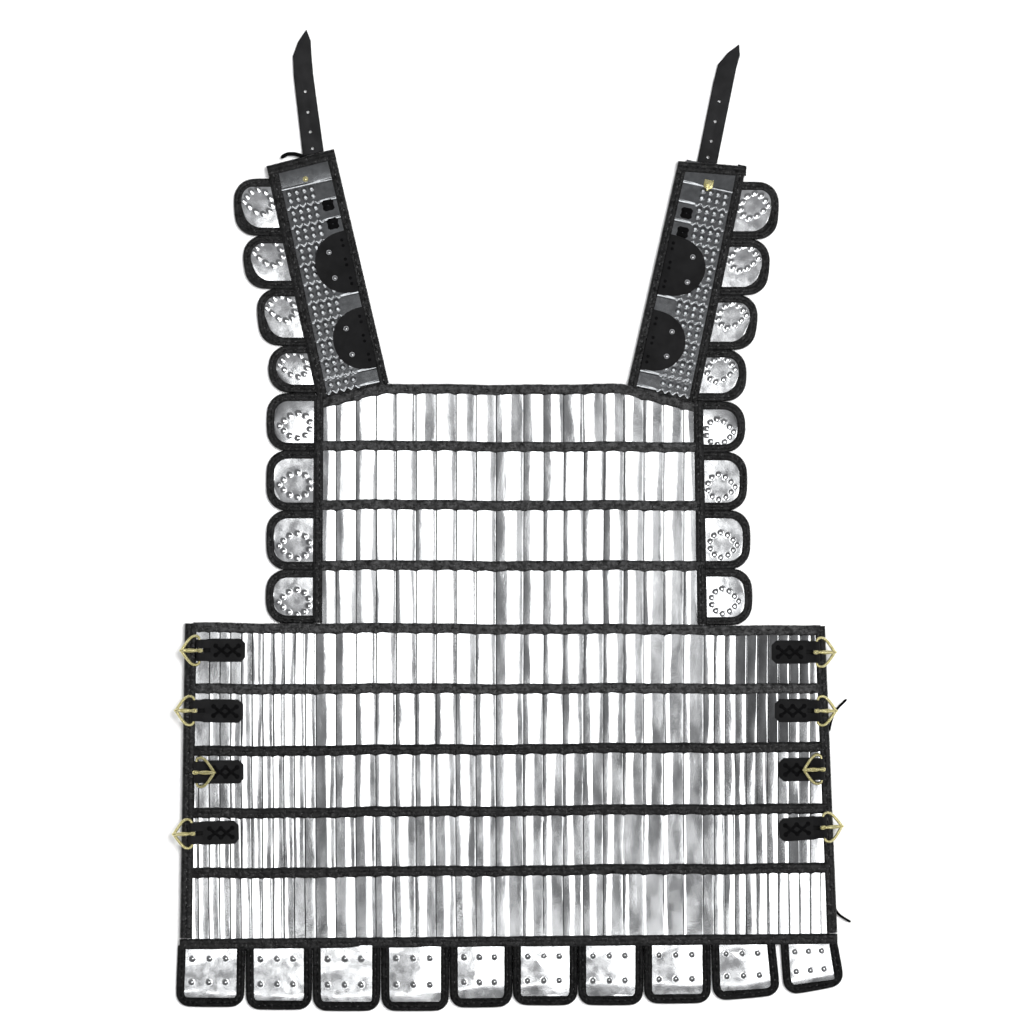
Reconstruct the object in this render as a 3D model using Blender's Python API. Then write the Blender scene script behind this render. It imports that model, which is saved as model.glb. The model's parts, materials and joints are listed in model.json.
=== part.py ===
"""Lamellar armour: the front of a cuirass, laid flat and face up.

Steel lamellae stand side by side in nine rows, four over the chest and five round the waist. Each row's
leather top band laps over the foot of the row above, so the rows lie on each other like shingles. Skirt
flaps hang from the lowest band, D-shaped scales edge the arm holes, and two shoulder straps run up from
the chest. Eight strap ends with brass buckles stand at the sides.

+X is the wearer's left, which is on the right as one looks down on it, +Y points to the shoulders and +Z
is up. Sizes are in millimetres. The origin is under the middle of the whole, on the surface it lies on.
"""

import math
from collections import namedtuple

import bmesh
import bpy
from mathutils import Matrix, Vector

MM = 0.001  # metres in a millimetre
NAME = "lamellar_armour"
GAP = 0.4  # between pieces that touch
CUT = 10.0  # how far a cutter reaches past what it cuts

# The rows of lamellae, and the bands that bind their tops.
STEEL_LOW = 0.8  # a lamella's thickness where it runs under its inner neighbour
STEEL_HIGH = 1.4  # and at its free outer edge, which lies on the next one
BAND_HEIGHT = 8.0
BAND_THICK = 1.2
CENTRE_PLATE = 25.7
WIDE_PITCH = 18.0  # of the nine lamellae each side of the middle
WIDE_COUNT = 9
NARROW_PITCH = 9.6  # of the lamellae round the sides
EDGE_THICK = 4.0  # of the leather folded round a row's ends
BAND_END = 0.7  # how much of a folded edge's width a band runs across
SLEEVE = 1.0  # how far a band stands above the lamellae that it binds

# top: the band's upper edge at the middle; turn: how far the row is turned, in degrees.
Row = namedtuple("Row", "name top turn")
ROWS = (
    Row("chest_row_1", 122.0, 0.0),
    Row("chest_row_2", 70.5, -0.3),
    Row("chest_row_3", 17.6, -0.2),
    Row("chest_row_4", -36.7, -0.1),
    Row("waist_row_1", -93.6, -0.25),
    Row("waist_row_2", -147.3, 0.05),
    Row("waist_row_3", -201.7, 0.4),
    Row("waist_row_4", -257.3, 0.45),
    Row("waist_row_5", -311.0, 0.5),
)
SKIRT = Row("skirt_band", -374.6, 0.48)

# The chest's upper edge falls away to the arm holes from these two knees.
KNEE = 101.0
CHEST_FALL_LEFT = 16.0
CHEST_FALL_RIGHT = 18.0
CHEST_RISE_LEFT = 2.5  # of the left knee over the middle

# The folded leather at the ends of the rows: its outer edge at top and foot, and its width.
Edge = namedtuple("Edge", "panel side top x_top foot x_foot width")
EDGES = (
    Edge("chest", -1, 108.0, -176.0, -92.3, -177.4, 8.3),
    Edge("chest", 1, 103.0, 173.4, -93.8, 177.2, 8.3),
    Edge("waist", -1, -92.9, -292.5, -375.9, -297.0, 10.8),
    Edge("waist", 1, -95.3, 283.4, -370.9, 294.4, 9.2),
)

# The skirt's flaps.
FLAP_TOP = 5.6  # below the skirt band's upper edge
FLAP_THICK = 2.5
FLAP_PLATE_SINK = 0.8
FLAP_EDGING = 8.5
FLAP_CORNER = 12.0
SKIRT_BAND_RISE = 2.9
# X of its two sides at the top and at the foot, and Y of its two lower corners.
Flap = namedtuple("Flap", "left right foot_left foot_right y_left y_right")
FLAPS = (
    Flap(-298.4, -238.6, -300.6, -239.6, -437.5, -437.9),
    Flap(-237.4, -178.6, -237.2, -178.6, -440.2, -440.4),
    Flap(-177.2, -117.0, -177.0, -117.2, -441.4, -441.4),
    Flap(-115.6, -55.2, -115.4, -55.4, -441.5, -441.3),
    Flap(-54.0, 1.8, -53.8, 1.6, -438.6, -437.8),
    Flap(3.0, 60.4, 2.8, 60.4, -436.3, -436.3),
    Flap(61.6, 119.6, 61.6, 119.6, -436.3, -436.2),
    Flap(120.8, 179.8, 121.0, 180.6, -434.9, -434.4),
    Flap(181.2, 237.8, 182.8, 243.2, -432.7, -427.3),
    Flap(243.6, 293.6, 246.8, 301.2, -428.0, -418.2),
)

# The D-shaped scales along the arm holes: how far out each reaches, where it begins and ends, and how much
# further in its lower corner is than its upper one.
SCALE_THICK = 1.8
SCALE_CORNER = 18.0
SCALE_NOTCH = 0.8
Scale = namedtuple("Scale", "out top foot slant")
SCALES = {
    "left_shoulder_scales": (
        Scale(-249.9, 306.9, 256.0, 3.0),
        Scale(-243.0, 256.0, 208.2, 6.0),
        Scale(-230.5, 208.2, 157.0, 6.0),
        Scale(-218.2, 157.0, 114.7, 1.0),
    ),
    "left_chest_scales": (
        Scale(-219.2, 114.1, 62.3, 0.0),
        Scale(-219.5, 62.3, 8.6, 0.0),
        Scale(-219.5, 8.6, -44.7, 0.0),
        Scale(-220.0, -44.7, -93.0, 0.0),
    ),
    "right_shoulder_scales": (
        Scale(243.3, 304.0, 252.7, 3.0),
        Scale(236.0, 252.7, 202.6, 5.0),
        Scale(225.6, 202.6, 153.3, 6.0),
        Scale(213.4, 153.3, 107.1, 1.0),
    ),
    "right_chest_scales": (
        Scale(211.8, 106.5, 60.9, 0.0),
        Scale(213.6, 60.9, 8.6, 0.0),
        Scale(216.4, 8.6, -43.9, 0.0),
        Scale(218.2, -43.9, -94.4, 0.0),
    ),
}

# The shoulder straps. A strap's own frame has u towards the arm and v up from its foot at the chest.
STRAP_BACKING = 1.2
STRAP_RIM = 3.4
STRAP_TUCK = 6.5  # how far its foot runs under the chest's upper band
TUCK_IN, TUCK_OUT = 4.0, 12.0  # how much narrower that tuck is, at the neck and at the arm
TUCK_SLANT = 2.0  # of the tuck's side at the arm
STRAP_PLATE_PITCH = 17.4
STRAP_TOP_PLATE = 18.0
RIM_TOP = 9.0
# foot_x, foot_y: the middle of its foot; lean: outwards, in degrees; inner, outer: the lengths of its two
# sides; rim_in, rim_out: the widths of the leather folded over them.
Strap = namedtuple(
    "Strap", "name side foot_x foot_y lean inner outer foot_width top_width rim_in rim_out"
)
STRAPS = (
    Strap("left_strap", -1, -141.2, 116.7, 12.8, 215.3, 213.9, 65.8, 62.6, 8.0, 9.4),
    Strap("right_strap", 1, 136.9, 113.5, 12.3, 207.8, 216.2, 64.6, 60.9, 8.4, 7.8),
)
# The leather patches on the straps: the middle along the strap and the place of the rivets across it.
PATCH_LENGTH, PATCH_THICK = 55.0, 1.4
PATCH_FULLNESS = 0.8  # under 1 swells the round side past an ellipse
Patch = namedtuple("Patch", "name strap middle reach rivet_u spacing")
PATCHES = (
    Patch("left_strap_patch_upper", "left_strap", 113.8, 32.5, -6.5, 23.6),
    Patch("left_strap_patch_lower", "left_strap", 43.4, 32.5, -6.4, 24.0),
    Patch("right_strap_patch_upper", "right_strap", 114.4, 37.8, 0.6, 23.2),
    Patch("right_strap_patch_lower", "right_strap", 45.1, 35.0, -3.3, 22.6),
)
RIVET_RADIUS, RIVET_HIGH = 2.3, 1.0
# The tails at the straps' tops. base: where it leaves the strap's top edge, as parts of it from the neck.
TAIL_THICK = 1.8
TAIL_HOLE = 1.4
Tail = namedtuple("Tail", "strap base_in base_out bend_x bend_y shoulder_x shoulder_y tip_x tip_y")
TAILS = (
    Tail("left_strap", 0.15, 0.46, -185.9, 400.5, -187.0, 417.9, -183.2, 441.5),
    Tail("right_strap", 0.276, 0.567, 191.5, 391.5, 195.3, 408.0, 206.2, 428.0),
)
TAIL_WIDTHS = (17.6, 16.9)  # at the bend and at the shoulder
TAIL_POINT = 0.55  # how much of the way from the shoulder to the tip its sides stay curved out
TAIL_SWELL = 0.22  # and by how much, as a part of the half width
TAIL_HOLES = (0.07, 0.28, 0.53, 0.79)  # parts of the way from the base to the bend

# The buckles. A buckle's own frame has x outwards from its bar, y along the bar and z up.
BAR_RISE = 7.4  # of the bar's axis over the surface
WIRE = 1.05  # the radius of the bar and the frame
TAB_WIDTH, TAB_LOOP_WIDTH = 20.7, 19.0
TAB_LOW, TAB_HIGH = 3.5, 6.1  # the doubled leather's two faces, over the surface
LOOP_INNER, LOOP_OUTER = 1.4, 2.9
JOIN = 9.0  # from the bar to where the two layers lie together
TAB_CORNER = 4.0
NECK_SLANT = 3.0  # the length over which a tab narrows to its loop
SLOT_WIDTH, SLOT_REACH = 4.0, 9.6
TONGUE_WIDTH, TONGUE_LENGTH = 3.0, 16.2
EYE_INNER, EYE_OUTER = 1.35, 2.4
LIFT = 0.3  # of the tongue's arm over the wire that it lies on
FOLD = 171.0  # degrees from a frame that lies outwards to one that is folded back
# One half of the frame from the end of the bar to the nose: out from the bar, and along it.
Bend = namedtuple("Bend", "out along")
FRAME_HALF = (
    Bend(0.0, 11.0),
    Bend(1.6, 12.5),
    Bend(4.0, 13.1),
    Bend(6.6, 12.3),
    Bend(9.4, 9.6),
    Bend(12.2, 5.9),
    Bend(14.6, 2.5),
    Bend(16.2, 0.0),
)
# y: of its middle; bar: X of the bar; end: X of the tab's inner end; turn: in degrees.
Buckle = namedtuple("Buckle", "name side y bar end folded turn")
BUCKLES = (
    Buckle("left_buckle_1", -1, -117.2, -279.0, -238.0, False, 0.0),
    Buckle("left_buckle_2", -1, -171.3, -284.0, -240.0, False, -1.0),
    Buckle("left_buckle_3", -1, -226.8, -281.5, -239.4, True, 0.5),
    Buckle("left_buckle_4", -1, -281.8, -285.8, -243.7, False, 1.5),
    Buckle("right_buckle_1", 1, -118.8, 275.6, 235.1, False, 0.0),
    Buckle("right_buckle_2", 1, -171.4, 276.5, 238.0, False, 0.0),
    Buckle("right_buckle_3", 1, -224.0, 279.8, 241.7, True, 1.0),
    Buckle("right_buckle_4", 1, -276.2, 282.0, 241.7, False, 4.0),
)

Finish = namedtuple("Finish", "colour roughness metallic")
STEEL = Finish((0.62, 0.63, 0.65), 0.3, 1.0)
DARK_STEEL = Finish((0.30, 0.31, 0.33), 0.35, 1.0)
LEATHER = Finish((0.018, 0.018, 0.020), 0.5, 0.0)
BRASS = Finish((0.78, 0.62, 0.30), 0.28, 1.0)

UP = Vector((0, 0, 1))


# ---------------------------------------------------------------------------------------------------------
# Tools
# ---------------------------------------------------------------------------------------------------------
def clear_scene():
    for obj in list(bpy.data.objects):
        bpy.data.objects.remove(obj, do_unlink=True)


def collection(name):
    made = bpy.data.collections.new(name)
    bpy.context.scene.collection.children.link(made)
    return made


def painted(obj, finish):
    """Gives the object a material of its own."""
    material = bpy.data.materials.new(obj.name)
    material.use_nodes = True
    shader = material.node_tree.nodes["Principled BSDF"]
    shader.inputs["Base Color"].default_value = (*finish.colour, 1)
    shader.inputs["Roughness"].default_value = finish.roughness
    shader.inputs["Metallic"].default_value = finish.metallic
    obj.data.materials.append(material)


def prism(loops, thick):
    """A closed prism from z = 0 up, from flat outlines: the first is its outside and the others are holes."""
    curve = bpy.data.curves.new("outline", "CURVE")
    curve.dimensions = "2D"
    curve.fill_mode = "BOTH"
    curve.extrude = thick * MM / 2
    for loop in loops:
        spline = curve.splines.new("POLY")
        spline.points.add(len(loop) - 1)
        for point, (x, y) in zip(spline.points, loop):
            point.co = (x * MM, y * MM, 0, 1)
        spline.use_cyclic_u = True
    guide = bpy.data.objects.new("outline", curve)
    bpy.context.scene.collection.objects.link(guide)
    bpy.context.view_layer.update()
    evaluated = guide.evaluated_get(bpy.context.evaluated_depsgraph_get())
    mesh = bpy.data.meshes.new_from_object(evaluated)
    bpy.data.objects.remove(guide)
    bpy.data.curves.remove(curve)
    mesh.transform(Matrix.Translation((0, 0, thick * MM / 2)))
    tidied = bmesh.new()
    tidied.from_mesh(mesh)
    bmesh.ops.remove_doubles(tidied, verts=tidied.verts, dist=0.000001)
    bmesh.ops.recalc_face_normals(tidied, faces=tidied.faces)
    tidied.to_mesh(mesh)
    tidied.free()
    return mesh


def upright(mesh, thick):
    """Turns a prism so that its outline's y points up and its length runs along +Y from zero."""
    mesh.transform(Matrix.Rotation(math.radians(90), 4, "X"))
    mesh.transform(Matrix.Translation((0, thick * MM, 0)))
    return mesh


def placed(name, mesh, group, at=(0, 0, 0), turn=(0, 0, 0)):
    """An object with its place in millimetres and its turns about X, Y and Z in degrees."""
    mesh.name = name
    obj = bpy.data.objects.new(name, mesh)
    obj.location = Vector(at) * MM
    obj.rotation_euler = [math.radians(angle) for angle in turn]
    group.objects.link(obj)
    return obj


def joined(obj, other, operation):
    """Adds a live Boolean with another object, which is kept as a guide."""
    other.hide_render = True
    other.display_type = "WIRE"
    modifier = obj.modifiers.new(operation.lower(), "BOOLEAN")
    modifier.operation = operation
    modifier.solver = "EXACT"
    modifier.object = other


def arc(centre_x, centre_y, radius, start, end, steps):
    """Points on an arc, with its angles in degrees."""
    angles = [math.radians(start + (end - start) * i / steps) for i in range(steps + 1)]
    return [(centre_x + radius * math.cos(a), centre_y + radius * math.sin(a)) for a in angles]


def between(a, b, part):
    return a + (b - a) * part


def rounded_corner(before, at, after, radius, steps=4):
    """Points round a corner of an outline, on an arc that touches both of its sides."""
    before, at, after = Vector(before), Vector(at), Vector(after)
    one, other = (before - at).normalized(), (after - at).normalized()
    half = one.angle(other) / 2
    centre = at + (one + other).normalized() * radius / math.sin(half)
    start = at + one * radius / math.tan(half) - centre
    sweep = (math.pi - 2 * half) * (1 if one.cross(other) < 0 else -1)
    turns = [Matrix.Rotation(sweep * i / steps, 2) for i in range(steps + 1)]
    return [tuple(centre + turn @ start) for turn in turns]


# ---------------------------------------------------------------------------------------------------------
# The rows of lamellae
# ---------------------------------------------------------------------------------------------------------
def edge_at(panel, side, y):
    """The inner side of the folded leather at a row's end."""
    edge = next(e for e in EDGES if e.panel == panel and e.side == side)
    outer = between(edge.x_top, edge.x_foot, (edge.top - y) / (edge.top - edge.foot))
    return outer - side * edge.width


def lamella_edges(limit):
    """Where the visible lamellae end, going out from the middle as far as the row's end."""
    ends = [CENTRE_PLATE / 2 + WIDE_PITCH * i for i in range(WIDE_COUNT + 1)]
    while ends[-1] + NARROW_PITCH < limit:
        ends.append(ends[-1] + NARROW_PITCH)
    ends = [end for end in ends if end < limit - NARROW_PITCH / 3]
    return ends + [limit]


def row_outline(left, right):
    """The section of a row across its lamellae. Each lies on the next one out, so it steps down outwards."""
    high_side = []
    for side, limit in ((1, right), (-1, left)):
        ends = lamella_edges(limit)
        half = [(side * ends[0], STEEL_HIGH)]
        for inner, outer in zip(ends, ends[1:]):
            half += [(side * inner, STEEL_LOW), (side * outer, STEEL_HIGH)]
        high_side.append(half)
    return [(-left, 0), (right, 0)] + high_side[0][::-1] + high_side[1]


def row_frame(index):
    """A row's foot in Y, its length, and the tilt in degrees that lifts its top on to the row above."""
    row = ROWS[index]
    last = index + 1 == len(ROWS)
    foot = SKIRT.top - BAND_HEIGHT / 2 if last else ROWS[index + 1].top - BAND_HEIGHT
    overlap_start = row.top - BAND_HEIGHT - foot
    tilt = math.degrees(math.atan((STEEL_HIGH + GAP) / overlap_start))
    return foot, row.top - SLEEVE - foot, tilt


def make_row(index, parts, guides):
    row = ROWS[index]
    panel = row.name.split("_")[0]
    foot, length, tilt = row_frame(index)
    left, right = (abs(edge_at(panel, side, foot)) - GAP for side in (-1, 1))
    mesh = upright(prism([row_outline(left, right)], length), length)
    for vertex in mesh.vertices:
        x, y = vertex.co.x / MM, vertex.co.y / MM
        if y > length / 2 and (x > right - 0.01 or x < -left + 0.01):
            side = 1 if x > 0 else -1
            end = edge_at(panel, side, foot + length) - side * GAP
            vertex.co.x = (end + length * math.sin(math.radians(row.turn))) * MM
    obj = placed(row.name, mesh, parts, (0, foot, 0), (tilt, 0, row.turn))
    if index == 0:  # its top is cut to the chest's upper edge
        joined(obj, chest_fall(guides), "DIFFERENCE")
    painted(obj, STEEL)


def chest_top(x, drop=0.0):
    """The upper edge of the chest, nearly level between the knees and falling beyond them."""
    edge = next(e for e in EDGES if e.panel == "chest" and e.side == (1 if x > 0 else -1))
    fall, rise = (CHEST_FALL_RIGHT, 0.0) if x > 0 else (CHEST_FALL_LEFT, CHEST_RISE_LEFT)
    share = max(0.0, (abs(x) - KNEE) / (abs(edge.x_top) - KNEE))
    return ROWS[0].top + rise * min(1.0, abs(x) / KNEE) - fall * share - drop


def chest_fall(guides):
    """What is cut from the corners of the first row, over its falling edge."""
    far, high = EDGES[1].x_foot + CUT, ROWS[0].top + CUT
    lower = [(x, chest_top(x, SLEEVE)) for x in (-far, -KNEE, 0.0, KNEE, far)]
    upper = [(far, high), (-far, high)]
    return placed("chest_fall", prism([lower + upper], 2 * CUT), guides, (0, 0, -CUT / 2))


# ---------------------------------------------------------------------------------------------------------
# The leather that binds the rows
# ---------------------------------------------------------------------------------------------------------
def edge_strip(edge, guides):
    """The leather folded round the ends of a panel's rows."""
    inside = -edge.side * edge.width
    outline = [
        (edge.x_top, edge.top),
        (edge.x_foot, edge.foot),
        (edge.x_foot + inside, edge.foot),
        (edge.x_top + inside, edge.top),
    ]
    return placed(f"{edge.panel}_edge", prism([outline], EDGE_THICK), guides)


def band(index, guides):
    """The band over the top of a row, from one folded edge to the other."""
    row = ROWS[index]
    panel = row.name.split("_")[0]
    foot, _, tilt = row_frame(index)
    left, right = (
        edge_at(panel, side, row.top) + side * BAND_END * edge.width
        for side, edge in ((e.side, e) for e in EDGES if e.panel == panel)
    )
    xs = (left, -KNEE, 0.0, KNEE, right) if index == 0 else (left, right)
    tops = [chest_top(x) if index == 0 else row.top for x in xs]
    upper = [(x, top - foot) for x, top in zip(xs, tops)]
    lower = [(x, y - BAND_HEIGHT) for x, y in upper]
    rise = STEEL_HIGH + GAP
    mesh = prism([lower + upper[::-1]], BAND_THICK)
    mesh.transform(Matrix.Translation((0, 0, rise * MM)))
    return placed(f"{row.name}_band", mesh, guides, (0, foot, 0), (tilt, 0, row.turn))


def make_binding(panel, parts, guides):
    """One node for a panel's leather: its two folded edges and the bands between them."""
    strips = [edge_strip(edge, guides) for edge in EDGES if edge.panel == panel]
    bands = [band(i, guides) for i, row in enumerate(ROWS) if row.name.startswith(panel)]
    first = strips[0]
    obj = placed(f"{panel}_binding", first.data.copy(), parts)
    bpy.data.objects.remove(first)
    for other in bands + strips[1:]:
        joined(obj, other, "UNION")
    painted(obj, LEATHER)


def make_skirt_band(parts):
    left, right = EDGES[2].x_foot, EDGES[3].x_foot
    outline = [
        (left, -BAND_HEIGHT),
        (right, -BAND_HEIGHT),
        (right, 0),
        (left, 0),
    ]
    mesh = prism([outline], BAND_THICK)
    obj = placed(SKIRT.name, mesh, parts, (0, SKIRT.top, SKIRT_BAND_RISE), (0, 0, SKIRT.turn))
    painted(obj, LEATHER)


# ---------------------------------------------------------------------------------------------------------
# Flaps and scales
# ---------------------------------------------------------------------------------------------------------
def make_flap(number, flap, parts):
    """A leather flap with rounded lower corners, edged all round, and a shallow bed for its steel plate."""
    slope = math.tan(math.radians(SKIRT.turn))
    top_left = (flap.left, SKIRT.top - FLAP_TOP + slope * flap.left)
    top_right = (flap.right, SKIRT.top - FLAP_TOP + slope * flap.right)
    foot_left, foot_right = (flap.foot_left, flap.y_left), (flap.foot_right, flap.y_right)
    outline = [top_right, top_left]
    outline += rounded_corner(top_left, foot_left, foot_right, FLAP_CORNER)
    outline += rounded_corner(foot_left, foot_right, top_right, FLAP_CORNER)
    middle, top = (flap.left + flap.right) / 2, top_left[1]
    shape = bmesh.new()
    shape.from_mesh(prism([[(x - middle, y - top) for x, y in outline]], FLAP_THICK))
    sink_top(shape, FLAP_EDGING, FLAP_PLATE_SINK)
    mesh = bpy.data.meshes.new("flap")
    shape.to_mesh(mesh)
    shape.free()
    obj = placed(f"skirt_flap_{number:02d}", mesh, parts, (middle, top, 0))
    painted(obj, LEATHER)


def sink_top(shape, border, depth):
    """Sinks the top of a prism inside a border, as a bed for a plate."""
    bmesh.ops.dissolve_limit(shape, angle_limit=0.01, verts=shape.verts, edges=shape.edges)
    top = [face for face in shape.faces if face.normal.z > 0.9]
    bmesh.ops.inset_region(shape, faces=top, thickness=border * MM, use_even_offset=True)
    inner = [v for face in top for v in face.verts]
    bmesh.ops.translate(shape, verts=list(set(inner)), vec=-UP * depth * MM)


def scale_outline(scales, side, base):
    """A comb of D shapes whose straight sides meet. base(y) gives X where they are sewn down."""
    points = [(base(scales[-1].foot), scales[-1].foot), (base(scales[0].top), scales[0].top)]
    for scale in scales:
        top, foot = scale.top - SCALE_NOTCH / 2, scale.foot + SCALE_NOTCH / 2
        upper, lower = (scale.out, top), (scale.out - side * scale.slant, foot)
        points += rounded_corner((base(top), top), upper, lower, SCALE_CORNER)
        points += rounded_corner(upper, lower, (base(foot), foot), SCALE_CORNER)
        if scale is not scales[-1]:
            points.append((points[-1][0] - side * 2, scale.foot))
    return points


def make_scales(name, scales, parts):
    side = 1 if scales[0].out > 0 else -1
    if "chest" in name:
        edge = next(e for e in EDGES if e.panel == "chest" and e.side == side)

        def base(y):
            return edge_at("chest", side, y) + side * (edge.width + GAP)

    else:
        strap = next(s for s in STRAPS if s.side == side)

        def base(y):
            foot, top = strap_corner(strap, 1, 0), strap_corner(strap, 1, 1)
            return between(foot.x, top.x, (y - foot.y) / (top.y - foot.y)) + side * GAP

    obj = placed(name, prism([scale_outline(scales, side, base)], SCALE_THICK), parts)
    painted(obj, LEATHER)


# ---------------------------------------------------------------------------------------------------------
# Shoulder straps
# ---------------------------------------------------------------------------------------------------------
def strap_corner(strap, outer, top):
    """A corner of a strap. outer: 1 at the arm, 0 at the neck; top: 0 at the chest, 1 at the far end."""
    u, v = strap_local(strap, outer, top)
    lean = math.radians(strap.lean)
    along = Vector((strap.side * math.sin(lean), math.cos(lean)))
    across = Vector((strap.side * math.cos(lean), -math.sin(lean)))
    return Vector((strap.foot_x, strap.foot_y)) + across * u + along * v


def strap_local(strap, outer, top):
    half = between(strap.foot_width, strap.top_width, top) / 2
    long = strap.outer if outer else strap.inner
    return (half if outer else -half), long * top


def strap_placed(name, mesh, strap, group, rise):
    """Puts a mesh of a strap's own frame in its place. The strap at -X is the mirrored one."""
    if strap.side < 0:
        mesh.transform(Matrix.Scale(-1, 4, (1, 0, 0)))
        mesh.flip_normals()
    at = (strap.foot_x, strap.foot_y, rise)
    return placed(name, mesh, group, at, (0, 0, -strap.side * strap.lean))


def bed_outline(strap, margin):
    """The strap inside its folded edges, and open at the foot."""
    (out_x, out_y), (in_x, in_y) = strap_local(strap, 1, 1), strap_local(strap, 0, 1)
    wide = strap.foot_width / 2
    return [
        (-wide + strap.rim_in + margin, -STRAP_TUCK - CUT),
        (wide - strap.rim_out - margin, -STRAP_TUCK - CUT),
        (out_x - strap.rim_out - margin, out_y - RIM_TOP - margin),
        (in_x + strap.rim_in + margin, in_y - RIM_TOP - margin),
    ]


def make_strap_leather(strap, parts, guides):
    """The strap's leather: a backing with its edges folded over at both sides and at the top."""
    half = strap.foot_width / 2
    outline = [
        (-half, 0),
        (-half + TUCK_IN, -STRAP_TUCK),
        (half - TUCK_OUT, -STRAP_TUCK),
        (half - TUCK_OUT + TUCK_SLANT, -SLEEVE),
        (half, 0),
        strap_local(strap, 1, 1),
        strap_local(strap, 0, 1),
    ]
    obj = strap_placed(f"{strap.name}_leather", prism([outline], STRAP_RIM), strap, parts, 0)
    bed = bed_outline(strap, 0)
    past = half + CUT
    lap = [(bed[0][0], SLEEVE), (-past, SLEEVE), (-past, -STRAP_TUCK - CUT)]
    lap += [(past, -STRAP_TUCK - CUT), (past, SLEEVE), (bed[1][0], SLEEVE)]
    cut = prism([lap + bed[2:]], CUT)
    joined(obj, strap_placed(f"{strap.name}_bed", cut, strap, guides, STRAP_BACKING), "DIFFERENCE")
    painted(obj, LEATHER)


def strap_section(strap):
    """The strap's plates along v. Each plate's lower edge lies free on the next one down."""
    top = max(strap.inner, strap.outer) - RIM_TOP
    foot = SLEEVE + GAP
    ends = [top, top - STRAP_TOP_PLATE]
    while ends[-1] - STRAP_PLATE_PITCH > foot:
        ends.append(ends[-1] - STRAP_PLATE_PITCH)
    if ends[-1] - foot > STRAP_PLATE_PITCH / 3:
        ends.append(foot)
    outline = [(ends[-1], 0), (top, 0)]
    for upper, lower in zip(ends, ends[1:]):
        outline += [(upper, STEEL_LOW), (lower, STEEL_HIGH)]
    return outline


def make_strap_plates(strap, parts, guides):
    wide = strap.foot_width
    mesh = upright(prism([strap_section(strap)], wide), wide)
    mesh.transform(Matrix.Rotation(math.radians(90), 4, "Z"))
    mesh.transform(Matrix.Translation((wide / 2 * MM, 0, 0)))
    rise = STRAP_BACKING + GAP
    obj = strap_placed(f"{strap.name}_plates", mesh, strap, parts, rise)
    bed = prism([bed_outline(strap, GAP)], CUT)
    joined(obj, strap_placed(f"{strap.name}_plate_bed", bed, strap, guides, 0), "INTERSECT")
    painted(obj, DARK_STEEL)


def make_patch(patch, parts, guides):
    """A D of leather on the plates, its straight side at the neck, held by two steel rivets."""
    strap = next(s for s in STRAPS if s.name == patch.strap)
    straight = -strap.top_width / 2 + strap.rim_in + GAP
    outline = []
    for x, y in arc(0, 0, 1, -90, 90, 10):
        fullness = max(x, 0) ** PATCH_FULLNESS
        outline.append((straight + patch.reach * fullness, patch.middle + PATCH_LENGTH / 2 * y))
    rise = STRAP_BACKING + GAP + STEEL_HIGH + GAP
    obj = strap_placed(patch.name, prism([outline], PATCH_THICK), strap, parts, rise)
    for end in (-1, 1):
        ring = arc(patch.rivet_u, patch.middle + end * patch.spacing / 2, RIVET_RADIUS, 0, 315, 7)
        head = prism([ring], RIVET_HIGH + PATCH_THICK / 2)
        name = f"{patch.name}_rivet_{end}"
        joined(obj, strap_placed(name, head, strap, guides, rise + PATCH_THICK / 2), "UNION")
    painted(obj, LEATHER)


def make_tail(tail, parts, guides):
    """The pointed leather end at a strap's top, with its row of holes."""
    strap = next(s for s in STRAPS if s.name == tail.strap)
    neck, arm = strap_corner(strap, 0, 1), strap_corner(strap, 1, 1)
    lift = (arm - neck).orthogonal().normalized() * GAP
    if lift.y < 0:
        lift = -lift
    base = [between(neck, arm, part) + lift for part in (tail.base_in, tail.base_out)]
    middle = (base[0] + base[1]) / 2
    line = [middle, Vector((tail.bend_x, tail.bend_y)), Vector((tail.shoulder_x, tail.shoulder_y))]
    tip = Vector((tail.tip_x, tail.tip_y))
    neck_side, arm_side = [base[0]], [base[1]]
    for i, wide in zip((1, 2), TAIL_WIDTHS):
        ahead = (line[i] - line[i - 1]).normalized()
        out = Vector((ahead.y, -ahead.x)) * strap.side * wide / 2
        neck_side.append(line[i] - out)
        arm_side.append(line[i] + out)
    for side in (neck_side, arm_side):
        side.append(between(side[-1], tip, TAIL_POINT) + (side[-1] - line[2]) * TAIL_SWELL)
    outline = neck_side + [tip] + arm_side[::-1]
    mesh = prism([[tuple(point) for point in outline]], TAIL_THICK)
    obj = placed(f"{strap.name}_tail", mesh, parts)
    for i, part in enumerate(TAIL_HOLES):
        at = between(line[0], line[1], part)
        hole = prism([arc(at.x, at.y, TAIL_HOLE, 0, 315, 7)], TAIL_THICK + 2)
        joined(obj, placed(f"{strap.name}_hole_{i}", hole, guides, (0, 0, -1)), "DIFFERENCE")
    painted(obj, LEATHER)


# ---------------------------------------------------------------------------------------------------------
# Buckles
# ---------------------------------------------------------------------------------------------------------
def across_bar(outline, wide):
    """A prism whose outline is out from the bar and up, and whose width is centred on the buckle."""
    mesh = upright(prism(outline, wide), wide)
    mesh.transform(Matrix.Translation((0, -wide / 2 * MM, 0)))
    return mesh


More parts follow.
